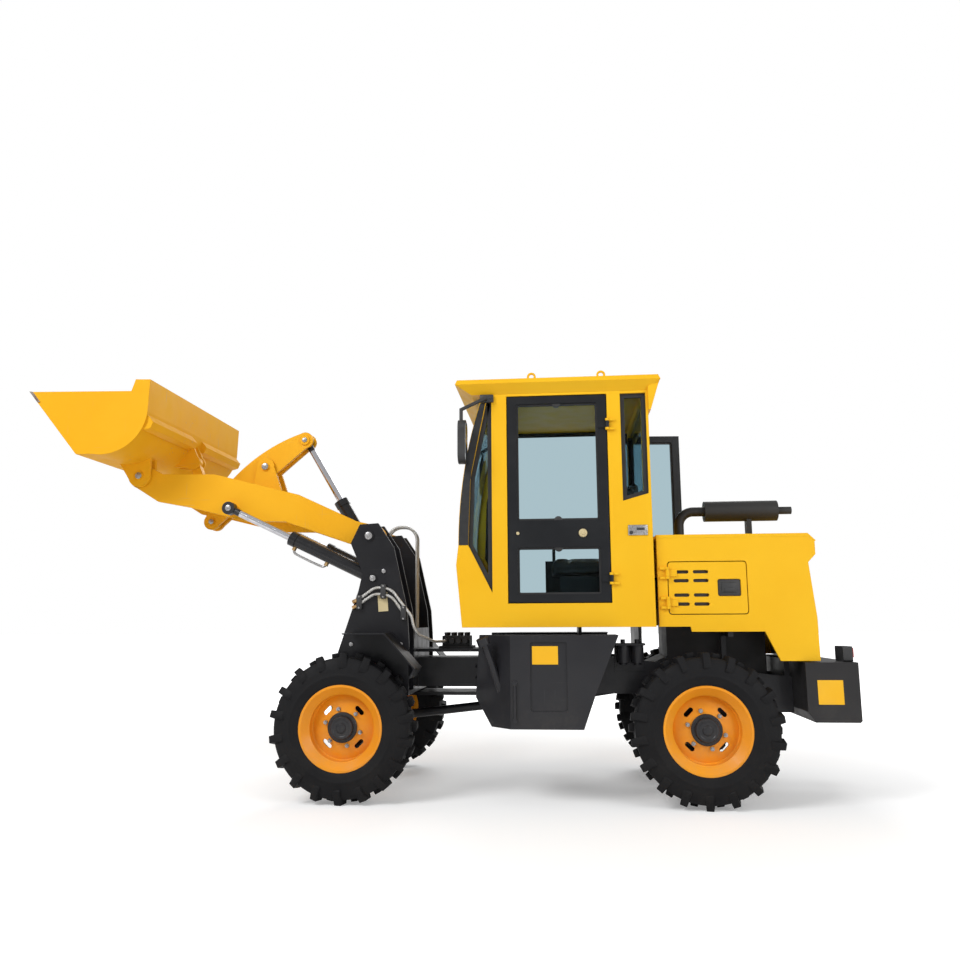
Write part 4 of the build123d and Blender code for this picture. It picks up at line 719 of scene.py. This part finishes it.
def joined(bm, mesh):
    """Add a mesh to a bmesh and drop the mesh."""
    bm.from_mesh(mesh)
    bpy.data.meshes.remove(mesh)


print("seal helpers ready")

# %% [markdown]
# The fixed panes get one seal piece, since the cab carries them all. A door's seal has to swing with its
# door, and the right door stands open, so its panes look along the turned direction.

# %% Seals of the fixed panes and the doors
left, right, front, rear = (0, 1, 0), (0, -1, 0), (1, 0, 0.12), (-1, 0, 0)
bm = bmesh.new()
for facing in (left, right):
    joined(bm, outlined("cab_glass", facing, 0.026, 0.007))
joined(bm, outlined("cab_glass", rear, 0.022, 0.006))
joined(bm, outlined("windshield", front, 0.024, 0.004))
settle(bm, "window_seals", seal_rubber, "rear")
open_angle = math.radians(-175)
open_facing = Matrix.Rotation(open_angle, 3, "Z") @ Vector(right)
for door, facing in (("left", Vector(left)), ("right", open_facing)):
    bm = bmesh.new()
    for out in (facing, -facing):
        joined(bm, outlined("door_glass_" + door, out, 0.012, 0.005))
    settle(bm, "door_seals_" + door, seal_rubber, "door_" + door)

# %% [markdown]
# The curved glass is bonded to the front edge of each cab side, and a black band covers the bond. The band
# lies between the edge of the windshield and the edge of the quarter light, so it is the strip that bridges
# those two lines. Four straight strips seal each door opening.

# %% Bond band and door opening seals
cab_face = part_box("cab_front_panel")[1].y + 0.040
pane = [vert.co for vert in nodes["windshield"].data.vertices]
pane_edge = sorted({(round(v.z, 4), max(w.x for w in pane if abs(w.z - v.z) < 1e-4)) for v in pane})
band_foot, band_head = pane_edge[0][0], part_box("cab_glass")[1].z
light_corners = (band_foot, 0.312), (1.919, 0.297), (band_head, 0.194)
light_edge = [(z, pivot_x + x) for z, x in light_corners]


def between(line, height):
    """X at a height on a line of (height, X) points, straight between them."""
    for (z0, x0), (z1, x1) in zip(line, line[1:]):
        if z0 <= height <= z1:
            return x0 + (x1 - x0) * (height - z0) / (z1 - z0)
    return line[-1][1]


rows = [(z, x) for z, x in pane_edge if z <= band_head]
front_line = [(z, x - 0.001) for z, x in rows]
rear_line = [(z, between(light_edge, z)) for z, _ in rows]
bm = bmesh.new()
for out in (1, -1):
    lines = []
    for line in (front_line, rear_line):
        verts = [bm.verts.new((x, out * (cab_face + 0.0005), z)) for z, x in line]
        lines += [bm.edges.new(pair) for pair in zip(verts, verts[1:])]
    strip = bmesh.ops.bridge_loops(bm, edges=lines)["faces"]
    thickened(bm, strip, (0, out * 0.002, 0))
settle(bm, "bond_bands", seal_rubber, "rear")

opening_low, opening_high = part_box("door_left")
opening_front, opening_rear = pivot_x + 0.071, pivot_x - 0.548
bm = bmesh.new()
for out in (1, -1):
    depth = out * (cab_face - 0.045)
    middle_x, middle_z = (opening_front + opening_rear) / 2, (opening_low.z + opening_high.z) / 2
    wide, tall = opening_front - opening_rear + 0.020, opening_high.z - opening_low.z + 0.030
    for x in (opening_front, opening_rear):
        block(bm, (x, depth, middle_z), (0.032, 0.008, tall), 0.003)
    for z in (opening_low.z - 0.003, opening_high.z + 0.003):
        block(bm, (middle_x, depth, z), (wide, 0.008, 0.032), 0.003)
settle(bm, "door_opening_seals", seal_rubber, "rear")

# %% [markdown]
# ## Door furniture
# Round clamps hold the panes at the top and at the middle band, and a knob sits on the band with a lock
# button ahead of it. They are turned parts, so each is a stud. The right door is the same, mirrored, and
# stands swung back about its hinge line.

# %% Door furniture
pane_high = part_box("door_glass_left")[1]
door_face = cab_face
clamp_x = pivot_x - 0.238
hinge = Vector((opening_rear, -0.614, 0))
swung = Matrix.Translation(hinge) @ Matrix.Rotation(open_angle, 4, "Z") @ Matrix.Translation(-hinge)
mirrored = Matrix.Diagonal((1, -1, 1, 1))
band_low, band_high = 1.4805, 1.6445
for door, place in (("left", Matrix.Identity(4)), ("right", swung @ mirrored)):
    bm = bmesh.new()
    for height in (pane_high.z, band_high, band_low):
        stud(bm, (clamp_x, pane_high.y - 0.001, height), left, 0.026, 0.012, 32)
    bmesh.ops.transform(bm, matrix=place, verts=bm.verts)
    settle(bm, "pane_clamps_" + door, moulded_black, "door_" + door)
    bm = bmesh.new()
    stud(bm, from_pivot(-0.385, door_face, 1.564), left, 0.026, 0.016, 32, 0.35)
    stud(bm, from_pivot(-0.385, door_face + 0.015, 1.564), left, 0.011, 0.006, 20, 0.3)
    stud(bm, from_pivot(0.008, door_face, 1.567), left, 0.010, 0.008, 20, 0.3)
    bmesh.ops.transform(bm, matrix=place, verts=bm.verts)
    settle(bm, "door_knob_" + door, plate_cream, "door_" + door)

# %% [markdown]
# Behind each door a plate on the cab side holds the door when it is swung back: a pale plate with a dark
# catch bar and a round release on it. Plate and catch are two pieces, as their finishes differ.

# %% Door catches
for side, out in (("left", 1), ("right", -1)):
    bm = bmesh.new()
    block(bm, from_pivot(-0.712, out * (door_face + 0.003), 1.577), (0.116, 0.008, 0.062), 0.003)
    settle(bm, "catch_plate_" + side, bolt_steel, "rear")
    bm = bmesh.new()
    block(bm, from_pivot(-0.728, out * (door_face + 0.0075), 1.584), (0.048, 0.004, 0.014), 0.0015)
    stud(bm, from_pivot(-0.672, out * (door_face + 0.006), 1.562), (0, out, 0), 0.011, 0.008, 20)
    settle(bm, "catch_release_" + side, moulded_black, "rear")

# %% [markdown]
# ## Mirrors, wiper and arm brackets
# The mirror glass lies on the rear face of each housing inside a narrow rim, so it is the plate inside that
# face's inset outline. A rounded block with two bolts holds each mirror arm to the cab.

# %% Mirror glass and brackets
mirror_rear = pivot_x + 0.315
bm = bmesh.new()
joined(bm, outlined("mirrors", rear, 0.010, 0.003, False, lambda centre: abs(centre.x - mirror_rear) < 0.002))
settle(bm, "mirror_glass", mirror_silver, "rear")
bm = bmesh.new()
for out in (1, -1):
    block(bm, from_pivot(0.192, out * (door_face + 0.011), 2.412), (0.085, 0.020, 0.050), 0.006)
    for step in (-0.026, 0.026):
        stud(bm, from_pivot(0.192 + step, out * (door_face + 0.020), 2.412), (0, out, 0), 0.008, 0.006, 6)
settle(bm, "mirror_brackets", moulded_black, "rear")

# %% [markdown]
# The wiper stands upright on the bent windshield. Its blade lies just off the glass, so its points are read
# from the pane's own edge; blade and arm are bent rod, so both are pipes.

# %% Wiper
wiper_y = 0.20
blade_heights = [1.58 + 0.09 * step for step in range(6)]
blade = [Vector((between(pane_edge, z) + 0.008, wiper_y, z)) for z in blade_heights]
bm = bmesh.new()
pipe(bm, blade, 0.006, 2)
grip = blade[3] + Vector((0.010, 0, 0))
pipe(bm, [from_pivot(0.400, wiper_y + 0.03, 1.455), from_pivot(0.398, wiper_y + 0.02, 1.60), grip], 0.005, 2)
stud(bm, from_pivot(0.375, wiper_y + 0.03, 1.455), (1, 0, 0.1), 0.016, 0.032, 20)
settle(bm, "wiper", moulded_black, "rear")

# %% [markdown]
# ## Hood details
# Behind the louvres a black sheet is painted shade: it stands for the dark inside of the hood. The hatch's
# recess holds a flush paddle latch. A sheet is one thin block, and the latch is three in steps.

# %% Louvre shade sheets and latch
hatch_low, hatch_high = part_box("hood_hatch")
hatch_mid = (hatch_low.z + hatch_high.z) / 2
louvre_x = pivot_x - 1.0175
# Each sheet is painted shade: a thin black plate that stands for the shadow inside the hood behind the
# louvres.
shade_sheets = (
    ("hatch_shade_sheet", "hood_hatch", hatch_low.y - 0.002),
    ("side_shade_sheet", "rear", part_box("hood_side_right")[1].y + 0.002),
)
for name, body, y in shade_sheets:
    bm = bmesh.new()
    block(bm, (louvre_x, y, hatch_mid), (0.215, 0.003, 0.230), 0.0008)
    settle(bm, name, moulded_black, body)
latch_x, hood_face = pivot_x - 1.238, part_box("hood_top")[1].y
latch_steps = (
    (0.0080, 0.000, (0.131, 0.004, 0.098), 0.0015),
    (0.0050, 0.000, (0.088, 0.006, 0.060), 0.0025),
    (0.0015, 0.012, (0.060, 0.003, 0.024), 0.0012),
)
bm = bmesh.new()
for inset, lower, size, bevel in latch_steps:
    block(bm, (latch_x, hood_face - inset, hatch_mid - lower), size, bevel)
settle(bm, "hatch_latch", moulded_black, "hood_hatch")

# %% [markdown]
# ## Plates
# The machine carries small data and safety plates. Here they are blank: a thin plate with a raised rim,
# made by insetting the face of a block and pushing the field back.

# %% Blank plates
def plate(name, finish, body, centre, width, height, tilt=0.0):
    """Blank plate that looks to the left; tilt turns it in its own plane."""
    bm = bmesh.new()
    block(bm, (0, 0, 0), (width, 0.002, height), 0.0006)
    field = [face for face in bm.faces if face.normal.y > 0.99]
    bmesh.ops.inset_region(bm, faces=field, thickness=0.005)
    bmesh.ops.translate(bm, verts=list({v for face in field for v in face.verts}), vec=(0, -0.0006, 0))
    turn = Matrix.Rotation(math.radians(tilt), 4, "Y")
    bmesh.ops.transform(bm, matrix=Matrix.Translation(centre) @ turn, verts=bm.verts)
    settle(bm, name, finish, body)


weight_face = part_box("counterweight")[1].y
plate("tank_plate", plate_yellow, "rear", from_pivot(-0.146, 0.7115, 0.846), 0.150, 0.104)
plate("weight_plate", plate_yellow, "rear", from_pivot(-1.765, weight_face + 0.001, 0.633), 0.142, 0.136)
plate("tower_plate", plate_cream, "front", from_pivot(0.855, 0.501, 1.163), 0.062, 0.116, 4)
plate("boom_plate", plate_yellow, "boom", from_pivot(2.233, 0.3385, 1.891), 0.160, 0.128, 10)

# %% [markdown]
# ## Pins and bolts
# The ends of the working pins show as steel discs on the black and yellow plates. Each sits on the
# outermost face found round its pin, so it takes its place from the solids.

# %% Pin ends
joint_place = {joint["name"]: Vector(joint["pos_m"]) for joint in frame["joints"] if "pos_m" in joint}


def reach(node, place, radius, out):
    """Outermost Y of a node near a pin, on one side."""
    near = [
        vert.co.y * out for vert in nodes[node].data.vertices
        if math.hypot(vert.co.x - place.x, vert.co.z - place.z) < radius and vert.co.y * out > 0
    ]
    return max(near) * out


pin_ends = (
    ("boom_pins", "front", "front_frame", joint_place["boom_lift"], 0.055, 0.024),
    ("lift_base_pins", "front", "front_frame", joint_place["lift_barrel_swing"], 0.045, 0.019),
    ("lift_eye_pins", "boom", "lift_rods", Vector((lift_eye[0], 0, lift_eye[1])), 0.050, 0.020),
    ("bucket_pins", "boom", "bucket", joint_place["bucket_tilt"], 0.060, 0.022),
    ("crank_pins", "boom", "boom", joint_place["crank_swing"], 0.060, 0.024),
    ("tilt_eye_pins", "bell_crank", "bell_crank", Vector((tilt_eye[0], 0, tilt_eye[1])), 0.050, 0.018),
    ("link_pins", "bell_crank", "bell_crank", joint_place["link_swing"], 0.050, 0.018),
)
for name, body, node, place, search, radius in pin_ends:
    bm = bmesh.new()
    for out in (1, -1):
        face = reach(node, place, search, out)
        print(name, round(face, 4))
        stud(bm, (place.x, face - out * 0.001, place.z), (0, out, 0), radius, 0.006, 28, 0.15)
        stud(bm, (place.x, face + out * 0.004, place.z), (0, out, 0), 0.0045, 0.006, 10, 0.3)
    settle(bm, name, bolt_steel, body)

# %% [markdown]
# Hexagon bolts show on the tower walls and across the rear of the counterweight. A bolt head is a six-sided
# stud with a small crown, and a list of places puts them on.

# %% Bolts
tower_face = 0.500
bm = bmesh.new()
for out in (1, -1):
    for x, z in ((0.852, 1.353), (0.740, 0.905), (1.050, 0.905), (0.740, 0.680), (0.815, 0.680)):
        stud(bm, from_pivot(x, out * tower_face, z), (0, out, 0), 0.014, 0.009, 6, 0.15)
settle(bm, "tower_bolts", bolt_steel, "front")
bm = bmesh.new()
weight_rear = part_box("counterweight")[0].x
for y in (-0.30, -0.10, 0.10, 0.30):
    stud(bm, (weight_rear, y, 0.60), (-1, 0, 0), 0.020, 0.012, 6, 0.15)
settle(bm, "weight_bolts", bolt_steel, "rear")

# %% [markdown]
# ## Tail lamps
# The lamp housings are black; a red lens closes the face that looks back. The lens is a rounded block, and
# its ribs are in the finish, as they are too fine to model.

# %% Tail lamp lenses
lamp_low, lamp_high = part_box("tail_lamps")
inner_edge = min(v.co.y for v in nodes["tail_lamps"].data.vertices if v.co.y > 0)
lens_y, lens_z = (inner_edge + lamp_high.y) / 2, (lamp_low.z + lamp_high.z) / 2 + 0.008
lens_width = lamp_high.y - inner_edge - 0.014
bm = bmesh.new()
for out in (1, -1):
    block(bm, (lamp_low.x - 0.003, out * lens_y, lens_z), (0.010, lens_width, 0.056), 0.004)
settle(bm, "tail_lenses", lamp_red, "rear")

# %% [markdown]
# ## Hydraulic fittings
# A steel pipe runs below each lift cylinder from its head to a port part way down, with a brass union at
# each end. The pipe is bent along points measured from the cylinder's pin and direction, so it lies along
# the barrel and swings with it.

# %% Cylinder pipes and unions
base_pin = joint_place["lift_barrel_swing"]
slide = next(joint["axis"] for joint in frame["joints"] if joint["name"] == "lift_rod_slide")
run = Vector(slide).normalized()
drop = Vector((run.z, 0, -run.x))
barrel_y = (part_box("lift_rods")[1].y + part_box("boom")[1].y) / 2
head, port = 0.565, 0.330
route = (
    (head, 0.046), (head, 0.076), (head - 0.05, 0.080), (port + 0.05, 0.080), (port, 0.076), (port, 0.044),
)
pipes, unions = bmesh.new(), bmesh.new()
for out in (1, -1):
    start = Vector((base_pin.x, out * barrel_y, base_pin.z))
    pipe(pipes, [start + run * along + drop * below for along, below in route], 0.008, 3)
    for along in (head, port):
        stud(unions, start + run * along + drop * 0.038, drop, 0.014, 0.026, 6, 0.15)
settle(pipes, "cylinder_pipes", bolt_steel, "lift_barrels", smooth=40.0)
settle(unions, "cylinder_unions", fitting_brass, "lift_barrels")

# %% [markdown]
# Black plastic blocks clamp the wall hoses to the tower, each with a bolt at its top and bottom, and the
# hoses' front ends have brass unions. Blocks and studs in a loop over the clamps' places do for all of
# them.

# %% Hose clamps and unions
hose_clamps, clamp_bolts, hose_unions = bmesh.new(), bmesh.new(), bmesh.new()
for x, z in ((1.000, 1.162), (0.850, 1.227), (0.722, 1.094)):
    block(hose_clamps, from_pivot(x, tower_face + 0.0142, z), (0.034, 0.0280, 0.088), 0.004)
    for step in (-0.034, 0.034):
        stud(clamp_bolts, from_pivot(x, tower_face + 0.0275, z + step), (0, 1, 0), 0.006, 0.004, 6, 0.15)
settle(hose_clamps, "hose_clamps", moulded_black, "front")
settle(clamp_bolts, "hose_clamp_bolts", bolt_steel, "front")
for x, z in ((1.012, 1.176), (1.012, 1.140)):
    stud(hose_unions, from_pivot(x, tower_face + 0.014, z), (0.9, 0, -0.4), 0.012, 0.034, 6, 0.15)
settle(hose_unions, "hose_unions", fitting_brass, "front")

# %% [markdown]
# ## The padded seat
# The two plain seat solids are swapped for stuffed vinyl. A block of the solid's size, a little smaller, is
# remeshed and blown up as cloth with a small pressure. How far a point may move is capped, and the side
# that rests on the seat pan is pinned, so that it stays flat. Sewn channels are pressed in afterwards.

# %% Padding helper
def stuffed(name, low, high, lean, pinned, channels, replaced, cap=0.014):
    """Blow up a block between two corners into a pad; lean shifts its top along X."""
    bm = bmesh.new()
    bmesh.ops.create_cube(bm, size=1.0)
    bmesh.ops.scale(bm, verts=bm.verts, vec=high - low - Vector((0.024, 0.024, 0.016)))
    bmesh.ops.translate(bm, verts=bm.verts, vec=(low + high) / 2)
    rounded(bm, bm.edges[:], 0.03, 3)
    for vert in bm.verts:
        vert.co.x += lean * (vert.co.z - low.z) / (high.z - low.z)
    mesh = bpy.data.meshes.new(name)
    bm.to_mesh(mesh)
    bm.free()
    pad = bpy.data.objects.new(name, mesh)
    scene.collection.objects.link(pad)
    remesh = pad.modifiers.new("remesh", "REMESH")
    remesh.mode = "VOXEL"
    remesh.voxel_size = 0.009
    depsgraph = bpy.context.evaluated_depsgraph_get()
    pad.data = bpy.data.meshes.new_from_object(pad.evaluated_get(depsgraph))
    pad.modifiers.clear()
    start = [vert.co.copy() for vert in pad.data.vertices]
    held = pad.vertex_groups.new(name="held")
    held.add([i for i, co in enumerate(start) if pinned(co)], 1.0, "REPLACE")
    cloth = pad.modifiers.new("cloth", "CLOTH")
    cloth.settings.vertex_group_mass = "held"
    cloth.settings.use_pressure = True
    cloth.settings.uniform_pressure_force = 4.0
    cloth.settings.effector_weights.gravity = 0.0
    for number in range(1, 21):
        scene.frame_set(number)
    depsgraph = bpy.context.evaluated_depsgraph_get()
    blown = bpy.data.meshes.new_from_object(pad.evaluated_get(depsgraph))
    pad.modifiers.clear()
    pad.vertex_groups.clear()
    pad.data = blown
    scene.frame_set(1)
    for vert, first in zip(pad.data.vertices, start):
        moved = vert.co - first
        if moved.length > cap:
            vert.co = first + moved * (cap / moved.length)
        vert.co += channels(vert.co)
    smooth = pad.modifiers.new("smooth", "SUBSURF")
    smooth.levels = smooth.render_levels = 1
    pad.data.polygons.foreach_set("use_smooth", [True] * len(pad.data.polygons))
    pad.data.materials.clear()
    pad.data.materials.append(seat_vinyl)
    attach(pad, "rear")
    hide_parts(replaced)
    print(name, len(pad.data.vertices), "vertices")


print("padding helper ready")

# %% [markdown]
# The channels are where the cover is sewn through to the base. Pressing them in along seams after the
# blowing up keeps them sharp. The back leans, so the test for its front face and its pinned side lean with
# it.

# %% Seat cushion and back
def groove(distance, width, depth):
    """Depth of a sewn channel at a distance from its seam."""
    return depth * math.exp(-((distance / width) ** 2))


low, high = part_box("seat_cushion")


def cushion_channels(co):
    """Two seams along the cushion and one across it, pressed into its upper face only."""
    if co.z < high.z - 0.04:
        return Vector((0, 0, 0))
    seams = [abs(co.y - y) for y in (-0.13, 0.13)] + [abs(co.x - (low.x + high.x) / 2 - 0.10)]
    return Vector((0, 0, -groove(min(seams), 0.009, 0.008)))


stuffed("seat_pad", low, high, 0.0, lambda co: co.z < low.z + 0.02, cushion_channels, "seat_cushion")
back_low, pad_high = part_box("seat_back")
pad_low = back_low + Vector((0.016, 0, 0))
lean = -0.040


def back_channels(co):
    """Seams across the back, pressed into the face that the operator leans on."""
    share = (co.z - pad_low.z) / (pad_high.z - pad_low.z)
    if co.x < (pad_low.x + pad_high.x) / 2 + lean * share:
        return Vector((0, 0, 0))
    seam = min(abs(co.z - (pad_low.z + height)) for height in (0.16, 0.30, 0.44))
    return Vector((-groove(seam, 0.009, 0.008), 0, 0))


stuffed(
    "seat_back_pad", pad_low, pad_high, lean,
    lambda co: co.x < pad_low.x + 0.03 + lean * (co.z - pad_low.z) / (pad_high.z - pad_low.z),
    back_channels, "seat_back",
)

# %% [markdown]
# ## The studio
# A pale floor and an even white surround. The floor glows for the rays that reach the camera, more with
# distance, so that it runs into the white behind it while the shadow near the wheels stays.

# %% Floor
bm = bmesh.new()
bmesh.ops.create_grid(bm, x_segments=1, y_segments=1, size=60.0)
floor_mesh = bpy.data.meshes.new("studio_floor")
bm.to_mesh(floor_mesh)
bm.free()
floor = bpy.data.objects.new("studio_floor", floor_mesh)
scene.collection.objects.link(floor)


def seen_rays(tree):
    """Mask of the rays that show the background: to the camera, through glass, and fainter in gloss."""
    rays = added(tree, "LightPath")
    shine = math_node(tree, "MULTIPLY", rays.outputs["Is Glossy Ray"], 0.35)
    seen = math_node(tree, "MAXIMUM", rays.outputs["Is Camera Ray"], shine)
    return math_node(tree, "MAXIMUM", seen, rays.outputs["Is Transmission Ray"])


floor_pale, tree, shader, at = new_material("floor_pale")
mottle = noise(tree, at, 0.8, 3.0)
wire(tree, shader, Base_Color=mixed(tree, mottle, (0.86, 0.86, 0.86), (0.90, 0.90, 0.90)))
wire(tree, shader, Roughness=0.9, Specular_IOR_Level=0.1)
distance = added(tree, "VectorMath")
distance.operation = "LENGTH"
fill(tree, distance.inputs[0], at)
glow = ranged(tree, distance.outputs["Value"], 2.4, 6.5, 0.25, 1.0)
wire(
    tree, shader,
    Emission_Strength=math_node(tree, "MULTIPLY", seen_rays(tree), glow),
    Emission_Color=(1.0, 1.0, 1.0, 1.0),
)
floor.data.materials.append(floor_pale)
print("floor laid")

# %% [markdown]
# The world lights the object gently from all sides, and shows as plain white behind it. Three large soft
# lamps give the panels a bright side and a shade side: a key from the front left, a weaker fill from the
# rear left and one from the far side.

# %% World and lamps
world = bpy.data.worlds.new("studio")
scene.world = world
world.use_nodes = True
tree = world.node_tree
background = tree.nodes["Background"]
strength = ranged(tree, seen_rays(tree), 0.0, 1.0, 0.42, 1.0)
wire(tree, background, Color=(1.0, 1.0, 1.0, 1.0), Strength=strength)


def lamp(name, place, target, size, watts):
    """Square area lamp aimed at a point."""
    data = bpy.data.lights.new(name, "AREA")
    data.size = size
    data.energy = watts
    made = bpy.data.objects.new(name, data)
    made.location = place
    made.rotation_euler = (Vector(target) - Vector(place)).to_track_quat("-Z", "Y").to_euler()
    scene.collection.objects.link(made)


lamp_size, aim = 4.0, (0, 0, 1.0)
lamp("key", (4.5, 6.0, 7.0), aim, lamp_size, 490)
lamp("fill", (-6.0, 5.0, 3.5), aim, lamp_size, 180)
lamp("back", (-1.0, -6.0, 6.0), aim, lamp_size, 240)
scene.view_settings.view_transform = "Standard"
print("studio ready")
